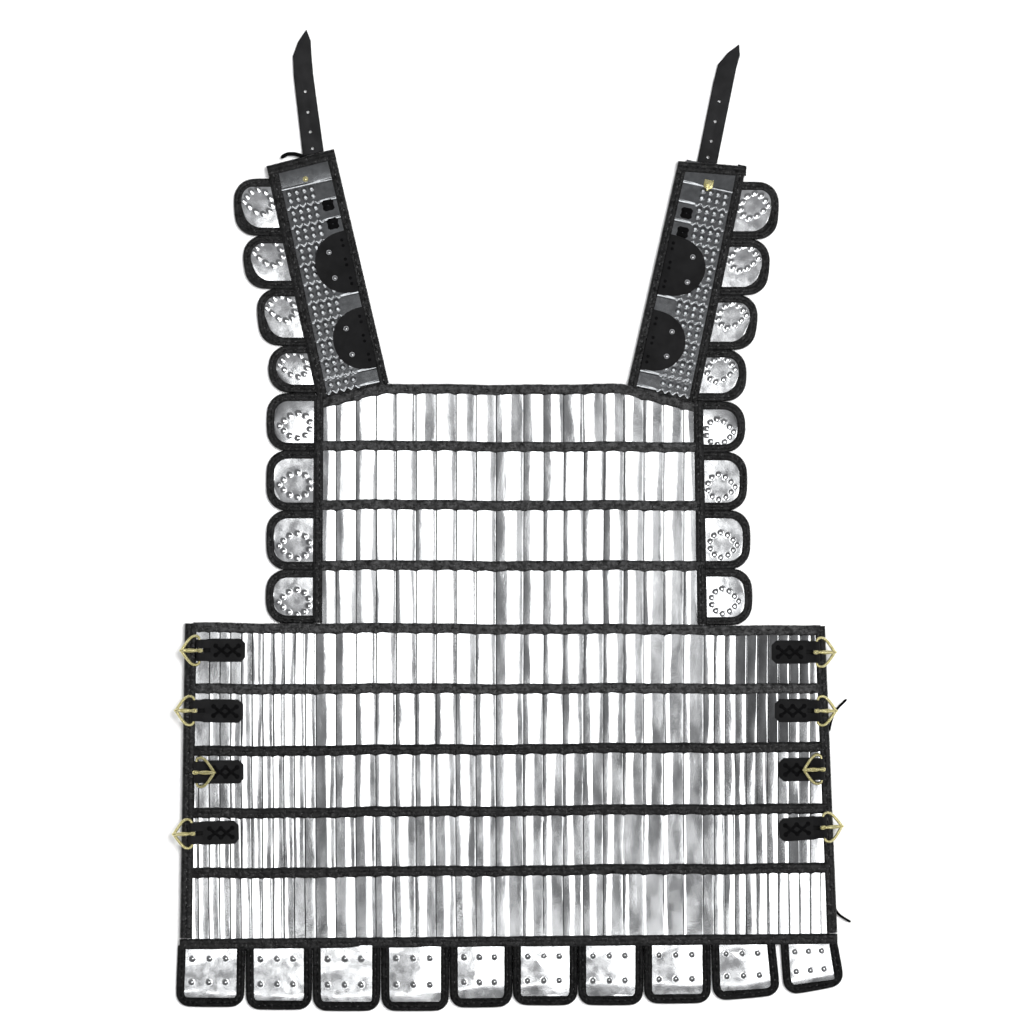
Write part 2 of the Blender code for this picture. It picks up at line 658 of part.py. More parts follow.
def make_tab(buckle, parts, guides):
    """The end of leather strap, doubled round the bar, with a slot for the tongue."""
    long = abs(buckle.bar - buckle.end)
    low, high = TAB_LOW - BAR_RISE, TAB_HIGH - BAR_RISE
    outline = arc(0, 0, LOOP_OUTER, 115, -105, 12)
    outline += [(-JOIN, low), (-long, low), (-long, high), (-JOIN, high)]
    hole = arc(0, 0, LOOP_INNER, 0, 330, 11)
    place = buckle_place(buckle, 0)
    obj = placed(f"{buckle.name}_tab", across_bar([outline, hole], TAB_WIDTH + 2), parts, *place)
    half, narrow = TAB_WIDTH / 2, TAB_LOOP_WIDTH / 2
    corner = (-long - 1, half - TAB_CORNER - 1), (-long + TAB_CORNER, half)
    plan = [*corner, (-JOIN, half), (-JOIN + NECK_SLANT, narrow), (CUT, narrow)]
    plan = plan + [(x, -y) for x, y in plan[::-1]]
    slot = [(-SLOT_REACH, -SLOT_WIDTH / 2), (CUT, -SLOT_WIDTH / 2)]
    slot += [(x, -y) for x, y in slot[::-1]]
    for cutter, outline, operation in (("plan", plan[::-1], "INTERSECT"), ("slot", slot, "DIFFERENCE")):
        shape = prism([outline], 2 * CUT)
        shape.transform(Matrix.Translation((0, 0, -CUT * MM)))
        joined(obj, placed(f"{buckle.name}_{cutter}", shape, guides, *place), operation)
    painted(obj, LEATHER)


def buckle_place(buckle, fold):
    """The place of the bar's axis, and the turns that point a buckle outwards, folded back by an angle."""
    outward = 180 if buckle.side < 0 else 0
    at = (buckle.bar, buckle.y, BAR_RISE)
    return at, (0, -fold, outward + buckle.turn)


def make_frame(buckle, parts):
    """The brass wire frame: a bar, two arms that swell past the leather, and a pointed nose."""
    half = [(bend.out, bend.along) for bend in FRAME_HALF]
    ring = half + [(x, -y) for x, y in half[-2::-1]]
    curve = bpy.data.curves.new(f"{buckle.name}_frame", "CURVE")
    curve.dimensions = "3D"
    curve.bevel_depth = WIRE * MM
    curve.bevel_resolution = 2
    spline = curve.splines.new("POLY")
    spline.points.add(len(ring) - 1)
    for point, (x, y) in zip(spline.points, ring):
        point.co = (x * MM, y * MM, 0, 1)
    spline.use_cyclic_u = True
    obj = placed(curve.name, curve, parts, *buckle_place(buckle, FOLD if buckle.folded else 0))
    painted(obj, BRASS)
    return obj


def make_tongue(buckle, frame, parts):
    """The brass tongue: an eye round the bar, and an arm that lies on the nose."""
    under = WIRE + LIFT
    start = math.degrees(math.asin(under / EYE_OUTER))
    outline = arc(0, 0, EYE_OUTER, 90, 360 + start, 12)
    outline += [(TONGUE_LENGTH, under), (TONGUE_LENGTH + 0.5, (under + EYE_OUTER) / 2)]
    outline += [(TONGUE_LENGTH, EYE_OUTER)]
    hole = arc(0, 0, EYE_INNER, 0, 330, 11)
    obj = placed(f"{buckle.name}_tongue", across_bar([outline, hole], TONGUE_WIDTH), parts)
    obj.parent = frame
    painted(obj, BRASS)


def main():
    clear_scene()
    parts = collection(NAME)
    guides = collection("guides")
    for index in range(len(ROWS)):
        make_row(index, parts, guides)
    for panel in ("chest", "waist"):
        make_binding(panel, parts, guides)
    make_skirt_band(parts)
    for number, flap in enumerate(FLAPS, 1):
        make_flap(number, flap, parts)
    for name, scales in SCALES.items():
        make_scales(name, scales, parts)
    for strap in STRAPS:
        make_strap_leather(strap, parts, guides)
        make_strap_plates(strap, parts, guides)
    for patch in PATCHES:
        make_patch(patch, parts, guides)
    for tail in TAILS:
        make_tail(tail, parts, guides)
    for buckle in BUCKLES:
        make_tab(buckle, parts, guides)
        make_tongue(buckle, make_frame(buckle, parts), parts)


main()
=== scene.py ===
"""Looks for the lamellar armour: polished lamellae, leather bindings, studded plates, brass buckles."""

import json
import math
import random

import bpy
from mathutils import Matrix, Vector


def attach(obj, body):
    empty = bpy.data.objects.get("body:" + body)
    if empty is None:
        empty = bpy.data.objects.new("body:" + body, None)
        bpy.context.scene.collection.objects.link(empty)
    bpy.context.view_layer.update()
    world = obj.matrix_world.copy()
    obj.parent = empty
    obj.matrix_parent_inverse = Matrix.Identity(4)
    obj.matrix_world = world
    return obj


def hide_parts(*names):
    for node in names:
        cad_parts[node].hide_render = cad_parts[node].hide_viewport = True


bl_info = {
    "name": "Lamellar Armour",
    "version": (1, 0, 0),
    "blender": (4, 5, 0),
    "location": "View3D > Sidebar > Armour",
    "description": "Dresses the lamellar armour: lamellae, leather, studded plates, buckles and stage",
    "category": "Object",
}

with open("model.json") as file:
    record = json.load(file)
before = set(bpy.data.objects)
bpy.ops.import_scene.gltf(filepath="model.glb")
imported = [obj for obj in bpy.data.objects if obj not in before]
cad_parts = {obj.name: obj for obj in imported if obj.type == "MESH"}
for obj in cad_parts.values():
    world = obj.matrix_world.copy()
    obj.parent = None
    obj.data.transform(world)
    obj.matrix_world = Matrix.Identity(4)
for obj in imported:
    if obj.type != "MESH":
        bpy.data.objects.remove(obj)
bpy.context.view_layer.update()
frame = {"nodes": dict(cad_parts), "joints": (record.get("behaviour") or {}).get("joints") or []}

MM = 0.001  # metres in a millimetre
BODY = "armour"
UP = Vector((0, 0, 1))
SIDES = {"left": -1, "right": 1}


# --- The modelling bench ---
def only(*objs):
    """Selects these objects and nothing else, and makes the first the active one."""
    bpy.ops.object.select_all(action="DESELECT")
    for obj in objs:
        obj.select_set(True)
    bpy.context.view_layer.objects.active = objs[0]


def edited(obj, *steps, test=None):
    """Runs edit-mode operators, each with its settings, on a whole mesh or on its faces that pass a test."""
    only(obj)
    bpy.ops.object.mode_set(mode="EDIT")
    bpy.ops.mesh.select_mode(type="FACE" if test else "VERT")
    bpy.ops.mesh.select_all(action="DESELECT" if test else "SELECT")
    if test:
        bpy.ops.object.mode_set(mode="OBJECT")
        for face in obj.data.polygons:
            face.select = test(face)
        bpy.ops.object.mode_set(mode="EDIT")
    for operator, settings in steps:
        operator(**settings)
    bpy.ops.object.mode_set(mode="OBJECT")
    return obj


OUTWARDS = (bpy.ops.mesh.normals_make_consistent, {"inside": False})


def raised(high):
    """The step that gives a flat mesh a thickness."""
    return bpy.ops.mesh.extrude_region_move, {"TRANSFORM_OT_translate": {"value": (0, 0, high)}}


def bevelled(obj, width, angle):
    """Rounds off the edges that are sharper than an angle in degrees."""
    bevel = obj.modifiers.new("edges", "BEVEL")
    bevel.width, bevel.segments = width * MM, 3
    bevel.limit_method, bevel.angle_limit = "ANGLE", math.radians(angle)
    only(obj)
    bpy.ops.object.modifier_apply(modifier="edges")
    return obj


def named(obj, name):
    obj.name = obj.data.name = name
    return obj


def added(name, primitive, **settings):
    """A new object from a primitive operator."""
    bpy.ops.object.select_all(action="DESELECT")
    primitive(**settings)
    return named(bpy.context.object, name)


def joined(name, objs):
    """One piece from several."""
    only(*objs)
    if len(objs) > 1:
        bpy.ops.object.join()
    return named(objs[0], name)


def shaped(obj, place):
    """Moves every vertex from the template's own coordinates to its place in millimetres."""
    for vertex in obj.data.vertices:
        vertex.co = Vector(place(*vertex.co)) * MM
    return obj


def copy_of(template, name):
    obj = bpy.data.objects.new(name, template.data.copy())
    bpy.context.scene.collection.objects.link(obj)
    return obj


def slab(name, across, along):
    """A template for a plate: a grid given a thickness, 0 to 1 across, along and up, with a plain back."""
    obj = added(name, bpy.ops.mesh.primitive_grid_add, x_subdivisions=across, y_subdivisions=along, size=1)
    edited(obj, raised(1))
    for vertex in obj.data.vertices:
        vertex.co += Vector((0.5, 0.5, 0))
    edited(obj, (bpy.ops.mesh.dissolve_faces, {}), test=lambda face: face.center.z < 0.01)
    return edited(obj, OUTWARDS)


def ball(name, around, rings):
    return added(name, bpy.ops.mesh.primitive_uv_sphere_add, segments=around, ring_count=rings, radius=1)


TEMPLATES = {}


def template(make, *settings):
    """A mesh to start copies from, made once."""
    if settings not in TEMPLATES:
        TEMPLATES[settings] = make(*settings)
    return TEMPLATES[settings]


def plate(name, across, along, place):
    """A plate whose points are put in place from their parts across, along and up."""
    return shaped(copy_of(template(slab, "plate", across, along), name), place)


def turns(count):
    """Angles all round a circle."""
    return [2 * math.pi * i / count for i in range(count)]


def oval(middle, across, over, around):
    """A ring of points round a middle, from its two half axes."""
    return [middle + across * math.cos(a) + over * math.sin(a) for a in turns(around)]


def tube(name, rings):
    """A closed tube through rings of points in millimetres, all with the same number of points."""
    stations, around = len(rings), len(rings[0])
    cells = {"x_subdivisions": stations - 1, "y_subdivisions": around}
    obj = added(name, bpy.ops.mesh.primitive_grid_add, size=1, **cells)
    for vertex in obj.data.vertices:
        station = round((vertex.co.x + 0.5) * (stations - 1))
        turn = round((vertex.co.y + 0.5) * around) % around
        vertex.co = Vector(rings[station][turn]) * MM
    merge = (bpy.ops.mesh.remove_doubles, {"threshold": 0.000001})
    ends = (bpy.ops.mesh.fill_holes, {"sides": 0})
    return edited(obj, merge, ends, OUTWARDS)


def finished(obj, look, nodes=(), body=BODY, smooth=38):
    """Gives a piece its finish, its body, and the CAD nodes that it stands for."""
    only(obj)
    bpy.ops.object.shade_smooth_by_angle(angle=math.radians(smooth))
    obj.data.materials.clear()
    obj.data.materials.append(finish(look))
    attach(obj, body)
    if nodes:
        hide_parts(*nodes)
    return obj


def gathered(name, parts, look):
    """Many small round parts as one piece."""
    return finished(joined(name, parts), look, smooth=60)


def between(a, b, part):
    return a + (b - a) * part


def clipped(x):
    return min(1.0, max(0.0, x))


# --- Measuring the CAD nodes, in millimetres ---
def vertices(node):
    return [v.co / MM for v in frame["nodes"][node].data.vertices]


def flat(point):
    """A point on the floor under another, or from two coordinates."""
    return Vector((point[0], point[1], 0))


def corner(node, x, y, reach=None):
    """The vertex of a CAD node that lies furthest in a direction, at most reach from the middle."""
    near = [p for p in vertices(node) if reach is None or abs(p.x) < reach]
    return max(near, key=lambda p: p.x * x + p.y * y)


def underside(node):
    """The outline points of a CAD node's underside."""
    found = {(round(p.x, 2), round(p.y, 2)) for p in vertices(node) if p.z < 0.1}
    return [Vector(p) for p in sorted(found)]


# --- Finishes ---
class Recipe:
    """A material made up node by node."""

    def __init__(self, name, colour, roughness, metallic=0.0, specular=0.5):
        self.material = bpy.data.materials.new(name)
        self.material.use_nodes = True
        self.tree = self.material.node_tree
        self.shader = self.tree.nodes["Principled BSDF"].inputs
        self.shader["Base Color"].default_value = (*colour, 1)
        self.shader["Roughness"].default_value = roughness
        self.shader["Metallic"].default_value = metallic
        self.shader["Specular IOR Level"].default_value = specular
        self.place = self.tree.nodes.new("ShaderNodeTexCoord").outputs["Object"]
        self.bumped = None

    def node(self, kind, values, **settings):
        made = self.tree.nodes.new(kind)
        for key, value in settings.items():
            setattr(made, key, value)
        for key, value in values.items():
            if hasattr(value, "links"):
                self.tree.links.new(value, made.inputs[key])
            else:
                made.inputs[key].default_value = value
        return made

    def noise(self, wavelength, detail=2.0, stretch=(1, 1, 1), roughness=0.5):
        """Cloudy noise of about a wavelength in millimetres, stretched by its three factors."""
        scale = [1 / s for s in stretch]
        place = self.node("ShaderNodeMapping", {"Vector": self.place, "Scale": scale}).outputs[0]
        values = {"Vector": place, "Scale": 1 / (wavelength * MM), "Detail": detail, "Roughness": roughness}
        return self.node("ShaderNodeTexNoise", values).outputs["Fac"]

    def bump(self, rise, height):
        """Adds a bump whose full height is rise, in millimetres."""
        made = self.node("ShaderNodeBump", {"Height": height, "Distance": rise * MM, "Strength": 1.0})
        if self.bumped:
            self.tree.links.new(self.bumped, made.inputs["Normal"])
        self.bumped = made.outputs["Normal"]
        self.tree.links.new(self.bumped, self.shader["Normal"])

    def ramp(self, socket, cloud, low, high, start=0.35, end=0.65):
        """Drives a socket from low to high, as a noise goes from start to end."""
        made = self.node("ShaderNodeValToRGB", {"Fac": self.noise(*cloud)})
        for stop, at, tone in zip(made.color_ramp.elements, (start, end), (low, high)):
            stop.position = at
            stop.color = (*tone, 1) if hasattr(tone, "__len__") else (tone, tone, tone, 1)
        self.tree.links.new(made.outputs["Color"], self.shader[socket])

    def clouded(self, colour, gloss=None, bumps=()):
        """Its colour's ramp, its roughness's ramp, and bumps: how high, and their noise."""
        self.ramp("Base Color", *colour)
        if gloss:
            self.ramp("Roughness", *gloss)
        for rise, *cloud in bumps:
            self.bump(rise, self.noise(*cloud))
        return self.material


def times(tone, factor):
    return [c * factor for c in tone]


def make_finishes():
    tones = bpy.context.scene.armour_finishes
    steel, dark, black, brass = tones.steel, tones.dark_steel, tones.leather, tones.brass
    made = {
        "steel": Recipe("polished_steel", steel, 0.13, 1.0).clouded(
            ((9, 3), times(steel, 0.9), steel),
            ((14, 4, (1, 2.5, 1)), 0.09, 0.2),
            ((0.3, 26, 1, (0.6, 1.6, 1)), (0.04, 5, 2, (0.8, 1.5, 1)), (0.012, 1.7, 2, (1, 1.1, 1))),
        ),
        # Brighter than the polished steel, 1.1 to 1.4 times its colour: painted light, a lit copy of that steel
        # on the flaps, scales and rivets.
        "beaten": Recipe("beaten_steel_painted_light", steel, 0.14, 1.0).clouded(
            ((8, 3), times(steel, 1.1), [min(0.9, c) for c in times(steel, 1.4)]),
            ((9, 4), 0.1, 0.2),
            ((0.14, 14, 1), (0.015, 3, 2), (0.003, 0.9, 2)),
        ),
        # The strap plates' steel, at half the polished steel's colour: painted shade, standing in for the darker
        # reflections that their tilt gives.
        "dark": Recipe("dark_steel", dark, 0.28, 1.0).clouded(
            ((6, 3), times(dark, 0.8), dark), ((4, 4), 0.14, 0.22), ((0.05, 9, 2), (0.006, 1.4, 3))
        ),
        "lace": Recipe("black_lace", tones.lace, 0.7, 0.0, 0.08).clouded(
            ((3, 4), times(tones.lace, 0.7), times(tones.lace, 1.6)), bumps=((0.12, 0.8, 3),)
        ),
        "brass": Recipe("pale_brass", brass, 0.22, 0.8).clouded(
            ((3, 4), (brass[0] * 0.8, brass[1] * 0.78, brass[2] * 0.6), brass),
            ((1.6, 3), 0.12, 0.28),
            ((0.12, 2.5, 2), (0.03, 1.2, 3)),
        ),
    }
    # Leathers with a grain, by their darkness against the armour's black and their shine.
    grained = {
        "leather": (times(black, 0.4), 0.5), "soft_leather": (tones.soft_leather, 0.6),
        "edging_leather": (times(black, 0.18), 0.26),
    }
    for name, (tone, shine) in grained.items():
        leather = Recipe(f"black_{name}", tone, 0.5, 0.0, shine)
        made[name] = leather.clouded(
            ((5, 5, (1, 1, 1), 0.7), times(tone, 0.2), times(tone, 3.6), 0.43, 0.6),
            ((3, 4), 0.2, 0.52),
            ((1.5, 6, 3), (0.35, 2.2, 2)),
        )
        grain = {"Vector": leather.place, "Scale": 900.0}
        leather.bump(0.12, leather.node("ShaderNodeTexVoronoi", grain, feature="SMOOTH_F1").outputs["Distance"])
        leather.bump(0.04, leather.noise(0.5, 3))
    for name, tone in (("strap", black), ("strap_end", times(black, 1.9))):
        made[name] = Recipe(f"{name}_leather", tone, 0.55, 0.0, 0.14).clouded(
            ((14, 4), tone, times(tone, 1.5)), ((5, 3), 0.48, 0.62), ((0.2, 9, 2), (0.03, 0.5, 3))
        )
    thread = Recipe("waxed_thread_painted_glints", tones.thread, 0.2, 0.0, 0.8)
    # The thread's lighter spots, up to fourteen times its black, are painted glints: painted highlights on the
    # stitches.
    made["thread"] = thread.clouded(((4, 3), times(tones.thread, 0.6), times(tones.thread, 14), 0.42, 0.72))
    twist = {"Vector": thread.place, "Scale": 500.0}
    thread.bump(0.06, thread.node("ShaderNodeTexWave", twist, bands_direction="DIAGONAL").outputs["Fac"])
    return made


FINISHES = {}


def finish(name):
    if not FINISHES:
        FINISHES.update(make_finishes())
    return FINISHES[name]


# --- The rows of lamellae ---
ROWS = [f"chest_row_{i}" for i in (1, 2, 3, 4)] + [f"waist_row_{i}" for i in (1, 2, 3, 4, 5)]
# Where the light overhead is mirrored: leaning in by VIEW_LEAN for each metre from the middle, and to the foot
# by (LIGHT_RUN * y + LIGHT_MIDDLE) / LIGHT_HIGH, in radians.
VIEW_LEAN = 0.236
LIGHT_RUN, LIGHT_MIDDLE, LIGHT_HIGH = 2.125, 0.43, 9
# How the lamellae of a row lie: at distances from the middle, to the left and to the right, the shares of a
# lamella's width at its inner and its outer side that turn away from the light, and how far, in radians.
LIE = {
    "chest_row_1": (
        ((0, 0.4, 0), (78, 0.42, 0), (96, 0.12, 0), (130, 0, 0.12), (160, 0, 0.22)),
        ((0, 0.42, 0), (30, 0.3, 0), (58, 0.45, 0.2), (76, 0.05, 0.42), (170, 0, 0.45)),
    ),
    "chest_row_2": (
        ((0, 0.2, 0), (110, 0.16, 0), (140, 0, 0.12), (172, 0, 0.4)),
        ((0, 0.36, 0), (30, 0.3, 0), (60, 0.08, 0), (84, 0.04, 0.15), (130, 0.04, 0.3), (170, 0, 0.25)),
    ),
    "chest_row_3": (
        ((0, 0.22, 0), (110, 0.15, 0.05), (150, 0, 0.2), (172, 0, 0.3)),
        ((0, 0.34, 0), (40, 0.18, 0), (60, 0.06, 0.1), (84, 0.25, 0.1), (104, 0.2, 0.2), (130, 0, 0.5)),
    ),
    "chest_row_4": (
        ((0, 0.12, 0), (110, 0.12, 0.05), (150, 0.08, 0.22), (172, 0, 0.3)),
        ((0, 0.32, 0), (60, 0.16, 0.05), (84, 0.22, 0.1), (112, 0.06, 0.4), (140, 0.1, 0.55), (170, 0.1, 0.45)),
    ),
    "waist_row_1": (
        ((0, 0.12, 0.3), (34, 0.2, 0), (130, 0.1, 0), (146, 0, 0.25), (172, 0, 0.3),
         (180, 0.15, 0.1), (236, 0.3, 0.1), (246, 0.9, 0), (290, 0.9, 0)),
        ((0, 0.28, 0), (60, 0.12, 0.12), (110, 0.1, 0.35), (130, 0, 0.6), (170, 0, 0.72),
         (180, 0.25, 0), (194, 0.15, 0), (206, 0.72, 0, 0.1), (216, 0.74, 0, 0.15), (268, 0.74, 0, 0.15),
         (282, 0.5, 0, 0.08)),
    ),
    "waist_row_2": (
        ((0, 0.12, 0.3), (34, 0.12, 0.08), (76, 0.05, 0.18), (110, 0.12, 0.12), (140, 0, 0.28), (172, 0, 0.4),
         (180, 0.3, 0), (210, 0.2, 0.1), (246, 0.6, 0.15), (290, 0.7, 0.1)),
        ((0, 0.26, 0), (50, 0.15, 0.12), (90, 0.25, 0.22), (130, 0, 0.55), (170, 0.05, 0.6),
         (180, 0.4, 0), (206, 0.4, 0), (216, 0.78, 0, 0.15), (248, 0.78, 0, 0.15), (258, 0.6, 0, 0.1),
         (280, 0.45, 0, 0.08)),
    ),
    "waist_row_3": (
        ((0, 0.05, 0.36), (30, 0.2, 0.2), (90, 0.2, 0.12), (130, 0.18, 0.2), (155, 0.1, 0.42, 0.08),
         (172, 0.25, 0.35, 0.08), (180, 0.45, 0), (240, 0.4, 0.05), (254, 0.75, 0.1), (290, 0.7, 0.1)),
        ((0, 0.12, 0.33), (40, 0.06, 0.42), (100, 0.08, 0.48), (150, 0, 0.5), (170, 0, 0.6),
         (180, 0.4, 0.08), (236, 0.5, 0.1), (254, 0.85, 0), (290, 0.65, 0)),
    ),
    "waist_row_4": (
        ((0, 0.2, 0.28), (40, 0.24, 0.2), (70, 0.26, 0.44), (100, 0.35, 0.14), (130, 0.1, 0.42, 0.08),
         (172, 0.15, 0.5, 0.09), (180, 0.8, 0.15, 0.08), (188, 0.45, 0.2), (290, 0.5, 0)),
        ((0, 0.06, 0.52), (40, 0.1, 0.52), (75, 0.3, 0.35), (110, 0.05, 0.62), (150, 0, 0.75), (170, 0, 0.8),
         (180, 0, 0.85), (190, 0.3, 0.15), (240, 0.38, 0), (258, 0.75, 0), (290, 0.4, 0)),
    ),
    "waist_row_5": (
        ((0, 0.28, 0.3), (50, 0.1, 0.3), (80, 0.35, 0.1), (110, 0.2, 0.3), (140, 0, 0.5, 0.08),
         (172, 0, 0.58, 0.09), (180, 0.85, 0.1, 0.08), (196, 0.7, 0.1, 0.07), (206, 0.15, 0.1), (240, 0.35, 0),
         (270, 0.5, 0), (290, 0.6, 0)),
        ((0, 0.04, 0.54), (40, 0.08, 0.54), (70, 0.3, 0.28), (100, 0.05, 0.66), (130, 0, 0.76), (170, 0, 0.84),
         (180, 0, 0.85), (190, 0.35, 0.1), (215, 0.4, 0), (240, 0.12, 0), (290, 0, 0)),
    ),
}
# The same shares at the left and the right of the lamella in the middle of each row.
MIDDLE_LIE = {
    "chest_row_1": (0.2, 0.38), "chest_row_2": (0.3, 0.12), "chest_row_3": (0.22, 0.15),
    "chest_row_4": (0.34, 0.08),
    "waist_row_1": (0.3, 0.16), "waist_row_2": (0.22, 0.25), "waist_row_3": (0.28, 0.26),
    "waist_row_4": (0.3, 0.36), "waist_row_5": (0.3, 0.42),
}
AWAY = 0.076  # how far such a side turns away from the light, unless the table says otherwise
ROLL = 0.15  # the slope of a lamella's rounded side where it shows a thin line of light
ROLL_START, ROLL_WIDE = 0.9, 1.7  # the width of that line at the inner and at the outer side
TURN = 0.45  # half the width in which a lamella's slope changes
SWELL = 0.018  # how round the part between its two sides is
CHAMFER, CHAMFER_WIDE = 0.42, 1.05  # the slope and width of its outer edge
LAMELLA_LOW = 0.95  # of its upper face where it runs under its inner neighbour
LAMELLA_THICK = 0.45
LAMELLA_LAP = 2.6  # how far it runs under that neighbour
LEAST_HIGH = 0.42
MIDDLE_HIGH = 0.75  # how much higher the lamella in the middle lies
PLATES_BESIDE = 10  # lamellae at the wide pitch beside the one in the middle, on each side
COLUMNS, ROUNDS = 13, 6
SLEEVE = 1.0  # how far a band stands above the lamellae


class Row:
    """A row's own frame, taken from its CAD node: s to the right from the middle and t up from its foot."""

    def __init__(self, name):
        sizes = bpy.context.scene.armour_sizes
        foot_left, foot_right = corner(name, -1, -4), corner(name, 1, -4)
        self.along = flat(foot_right - foot_left).normalized()
        self.up = UP.cross(self.along)
        self.start = flat(foot_left - self.along * (foot_left.x / self.along.x))
        tops = [corner(name, -1, 4), corner(name, 1, 4)]
        if name == "chest_row_1":
            tops[1:1] = [corner(name, -0.1, 1), corner(name, 0, 1, 14), corner(name, 0.1, 1)]
        self.foot = [self.local(foot_left)[0], self.local(foot_right)[0]]
        self.tops = [self.local(top) for top in tops]
        lowest = min(p.z for p in vertices(name) if (p - tops[0]).xy.length < 0.5)
        self.tilt = lowest / self.tops[0][1]
        narrow = sizes.side_pitch / MM
        wide = [(sizes.centre_width / 2 + sizes.pitch * i) / MM for i in range(PLATES_BESIDE)]
        self.last_wide = wide[-1]
        self.stops = {}
        for side, limit in ((-1, -self.foot[0]), (1, self.foot[1])):
            stops = list(wide)
            while stops[-1] + narrow < limit:
                stops.append(stops[-1] + narrow)
            self.stops[side] = [stop for stop in stops if stop < limit - narrow / 3] + [limit]

    def local(self, point):
        away = flat(point) - self.start
        return away.dot(self.along), away.dot(self.up)

    def top(self, s):
        """How long the row is at s."""
        before, after = self.tops[0], self.tops[-1]
        for one, other in zip(self.tops, self.tops[1:]):
            if one[0] <= s <= other[0]:
                before, after = one, other
        return between(before[1], after[1], clipped((s - before[0]) / (after[0] - before[0])))

    def point(self, s, t, high):
        """A point of the row, high over its underside."""
        at = self.start + self.along * s + self.up * t
        return at.x, at.y, self.tilt * t + high

    def end(self, side, t):
        """Where the row ends on one side, t from its foot."""
        foot, top = (self.foot[0], self.tops[0]) if side < 0 else (self.foot[1], self.tops[-1])
        return between(foot, top[0], t / top[1])


def lie_at(name, side, far):
    """How a lamella lies at a distance from the middle: its shares and how far they turn."""
    table = [(*entry, AWAY)[:4] for entry in LIE[name][side > 0]]
    for one, other in zip(table, table[1:]):
        if far < other[0]:
            part = max(0.0, (far - one[0]) / (other[0] - one[0]))
            return [between(a, b, part) for a, b in zip(one[1:], other[1:])]
    return list(table[-1][1:])


def profile(pitch, first, second, turn, rolls, view):
    """Places across a lamella, from the side where first is to the other, and the heights there."""
    stops = [0.0, ROLL_START, first - TURN, first + TURN]
    stops += [between(first, second, 0.35), between(first, second, 0.65), second - TURN, second + TURN]
    stops += [between(second, pitch - ROLL_WIDE, 0.5), pitch - ROLL_WIDE, pitch - CHAMFER_WIDE]
    for i in range(1, len(stops)):
        stops[i] = max(stops[i], stops[i - 1] + 0.12)
    stops[-1] = min(stops[-1], pitch - CHAMFER_WIDE)
    for i in range(len(stops) - 2, 0, -1):
        stops[i] = min(stops[i], stops[i + 1] - 0.08)
    heights = [0.0]
    for one, other in zip(stops, stops[1:]):
        at = (one + other) / 2
        slope = turn if at < first else -turn
        if first <= at < second:
            slope = SWELL * (1 - 2 * (at - first) / (second - first))
        if at < ROLL_START and rolls[0]:
            slope = rolls[0]
        if at > pitch - ROLL_WIDE and rolls[1]:
            slope = -rolls[1]
        heights.append(heights[-1] + (slope + view) * (other - one))
    return stops, heights


def shares(chance, gone, turned, pitch):
    """Where the sides of a lamella that turn away end, with a little chance."""
    first, second = [
        (share + (chance.uniform(-0.03, 0.13) if share > 0.02 else -0.05)) * pitch for share in (gone, turned)
    ]
    second = pitch - second
    if second < first + 0.12 * pitch:
        return (pitch, pitch) if gone > turned else (-1.0, -1.0)
    return first, second


def lamella(row, side, inner, outer, lie, chance, last):
    """One lamella between two distances from the middle, lapped under its inner neighbour."""
    pitch = outer - inner
    view = VIEW_LEAN * (inner + outer) / 2 * MM + chance.uniform(-0.004, 0.004)
    first, second = shares(chance, lie[0], lie[1], pitch)
    turn = lie[2] * chance.uniform(0.85, 1.15)
    roll = ROLL * chance.uniform(0.75, 1.15)
    rolls = (roll if lie[0] > 0.1 else 0, 0) if side < 0 else (0, roll if lie[1] > 0.1 else 0)
    nod = chance.uniform(-0.004, 0.004)
    waves = [(chance.uniform(0, 6.28), chance.uniform(0.2, 0.75), chance.uniform(2.0, 5.5)) for _ in range(2)]
    found = {}

    def across(v):
        if v not in found:
            a, b = [
                edge + size * math.sin(start + pace * v)
                for edge, (start, size, pace) in zip((first, second), waves)
            ]
            stops, heights = profile(pitch, a, b, turn, rolls, view)
            low = min(heights)
            found[v] = stops, [height - low for height in heights]
        return found[v]

    def place(u, v, w):
        column = round(u * COLUMNS)
        stops, heights = across(round(v, 3))
        if column < 2:
            far, high = (-LAMELLA_LAP, -0.05)[column], 0.0
        elif column == COLUMNS:
            far, high = pitch, LAMELLA_LOW + heights[-1] - CHAMFER * CHAMFER_WIDE
        else:
            far, high = stops[column - 2], LAMELLA_LOW + heights[column - 2]
        t = v * row.top(side * (inner + min(far, pitch)))
        s = inner + far
        if last:
            s = inner + far * (abs(row.end(side, t)) - inner + 1.5) / pitch
        high = max(high + nod * (t - 25), LEAST_HIGH)
        return row.point(side * s, t, high if w > 0.5 else max(0.1, high - LAMELLA_THICK))

    return shaped(copy_of(template(slab, "lamella", COLUMNS, ROUNDS), "lamella"), place)


def centre_lamella(row, lie, chance):
    """The lamella in the middle of a row, which lies on both of its neighbours."""
    half = row.stops[1][0]
    pitch = 2 * half
    first, second = shares(chance, lie[0], lie[1], pitch)
    stops, _ = profile(pitch, first, second, 0, (0, ROLL), 0)
    stops = [max(CHAMFER_WIDE + 0.1 * i, stop) for i, stop in enumerate(stops)]
    heights = [0.0]
    for one, other in zip(stops, stops[1:]):
        at = (one + other) / 2
        slope = AWAY if at < first else 0.0 if at < second else -AWAY
        heights.append(heights[-1] + (slope if at < pitch - ROLL_WIDE else -ROLL) * (other - one))

    def place(u, v, w):
        column = round(u * COLUMNS)
        if column == 0:
            far, high = 0.0, -CHAMFER * CHAMFER_WIDE
        elif column > COLUMNS - 2:
            past = CHAMFER_WIDE * (column - COLUMNS + 2) / 2
            far, high = pitch - CHAMFER_WIDE + past, heights[-1] - CHAMFER * past
        else:
            far, high = stops[column - 1], heights[column - 1]
        s = far - half
        high += LAMELLA_LOW + MIDDLE_HIGH - (0 if w > 0.5 else LAMELLA_THICK)
        return row.point(s, v * row.top(s), high)

    return shaped(copy_of(template(slab, "lamella", COLUMNS, ROUNDS), "lamella"), place)


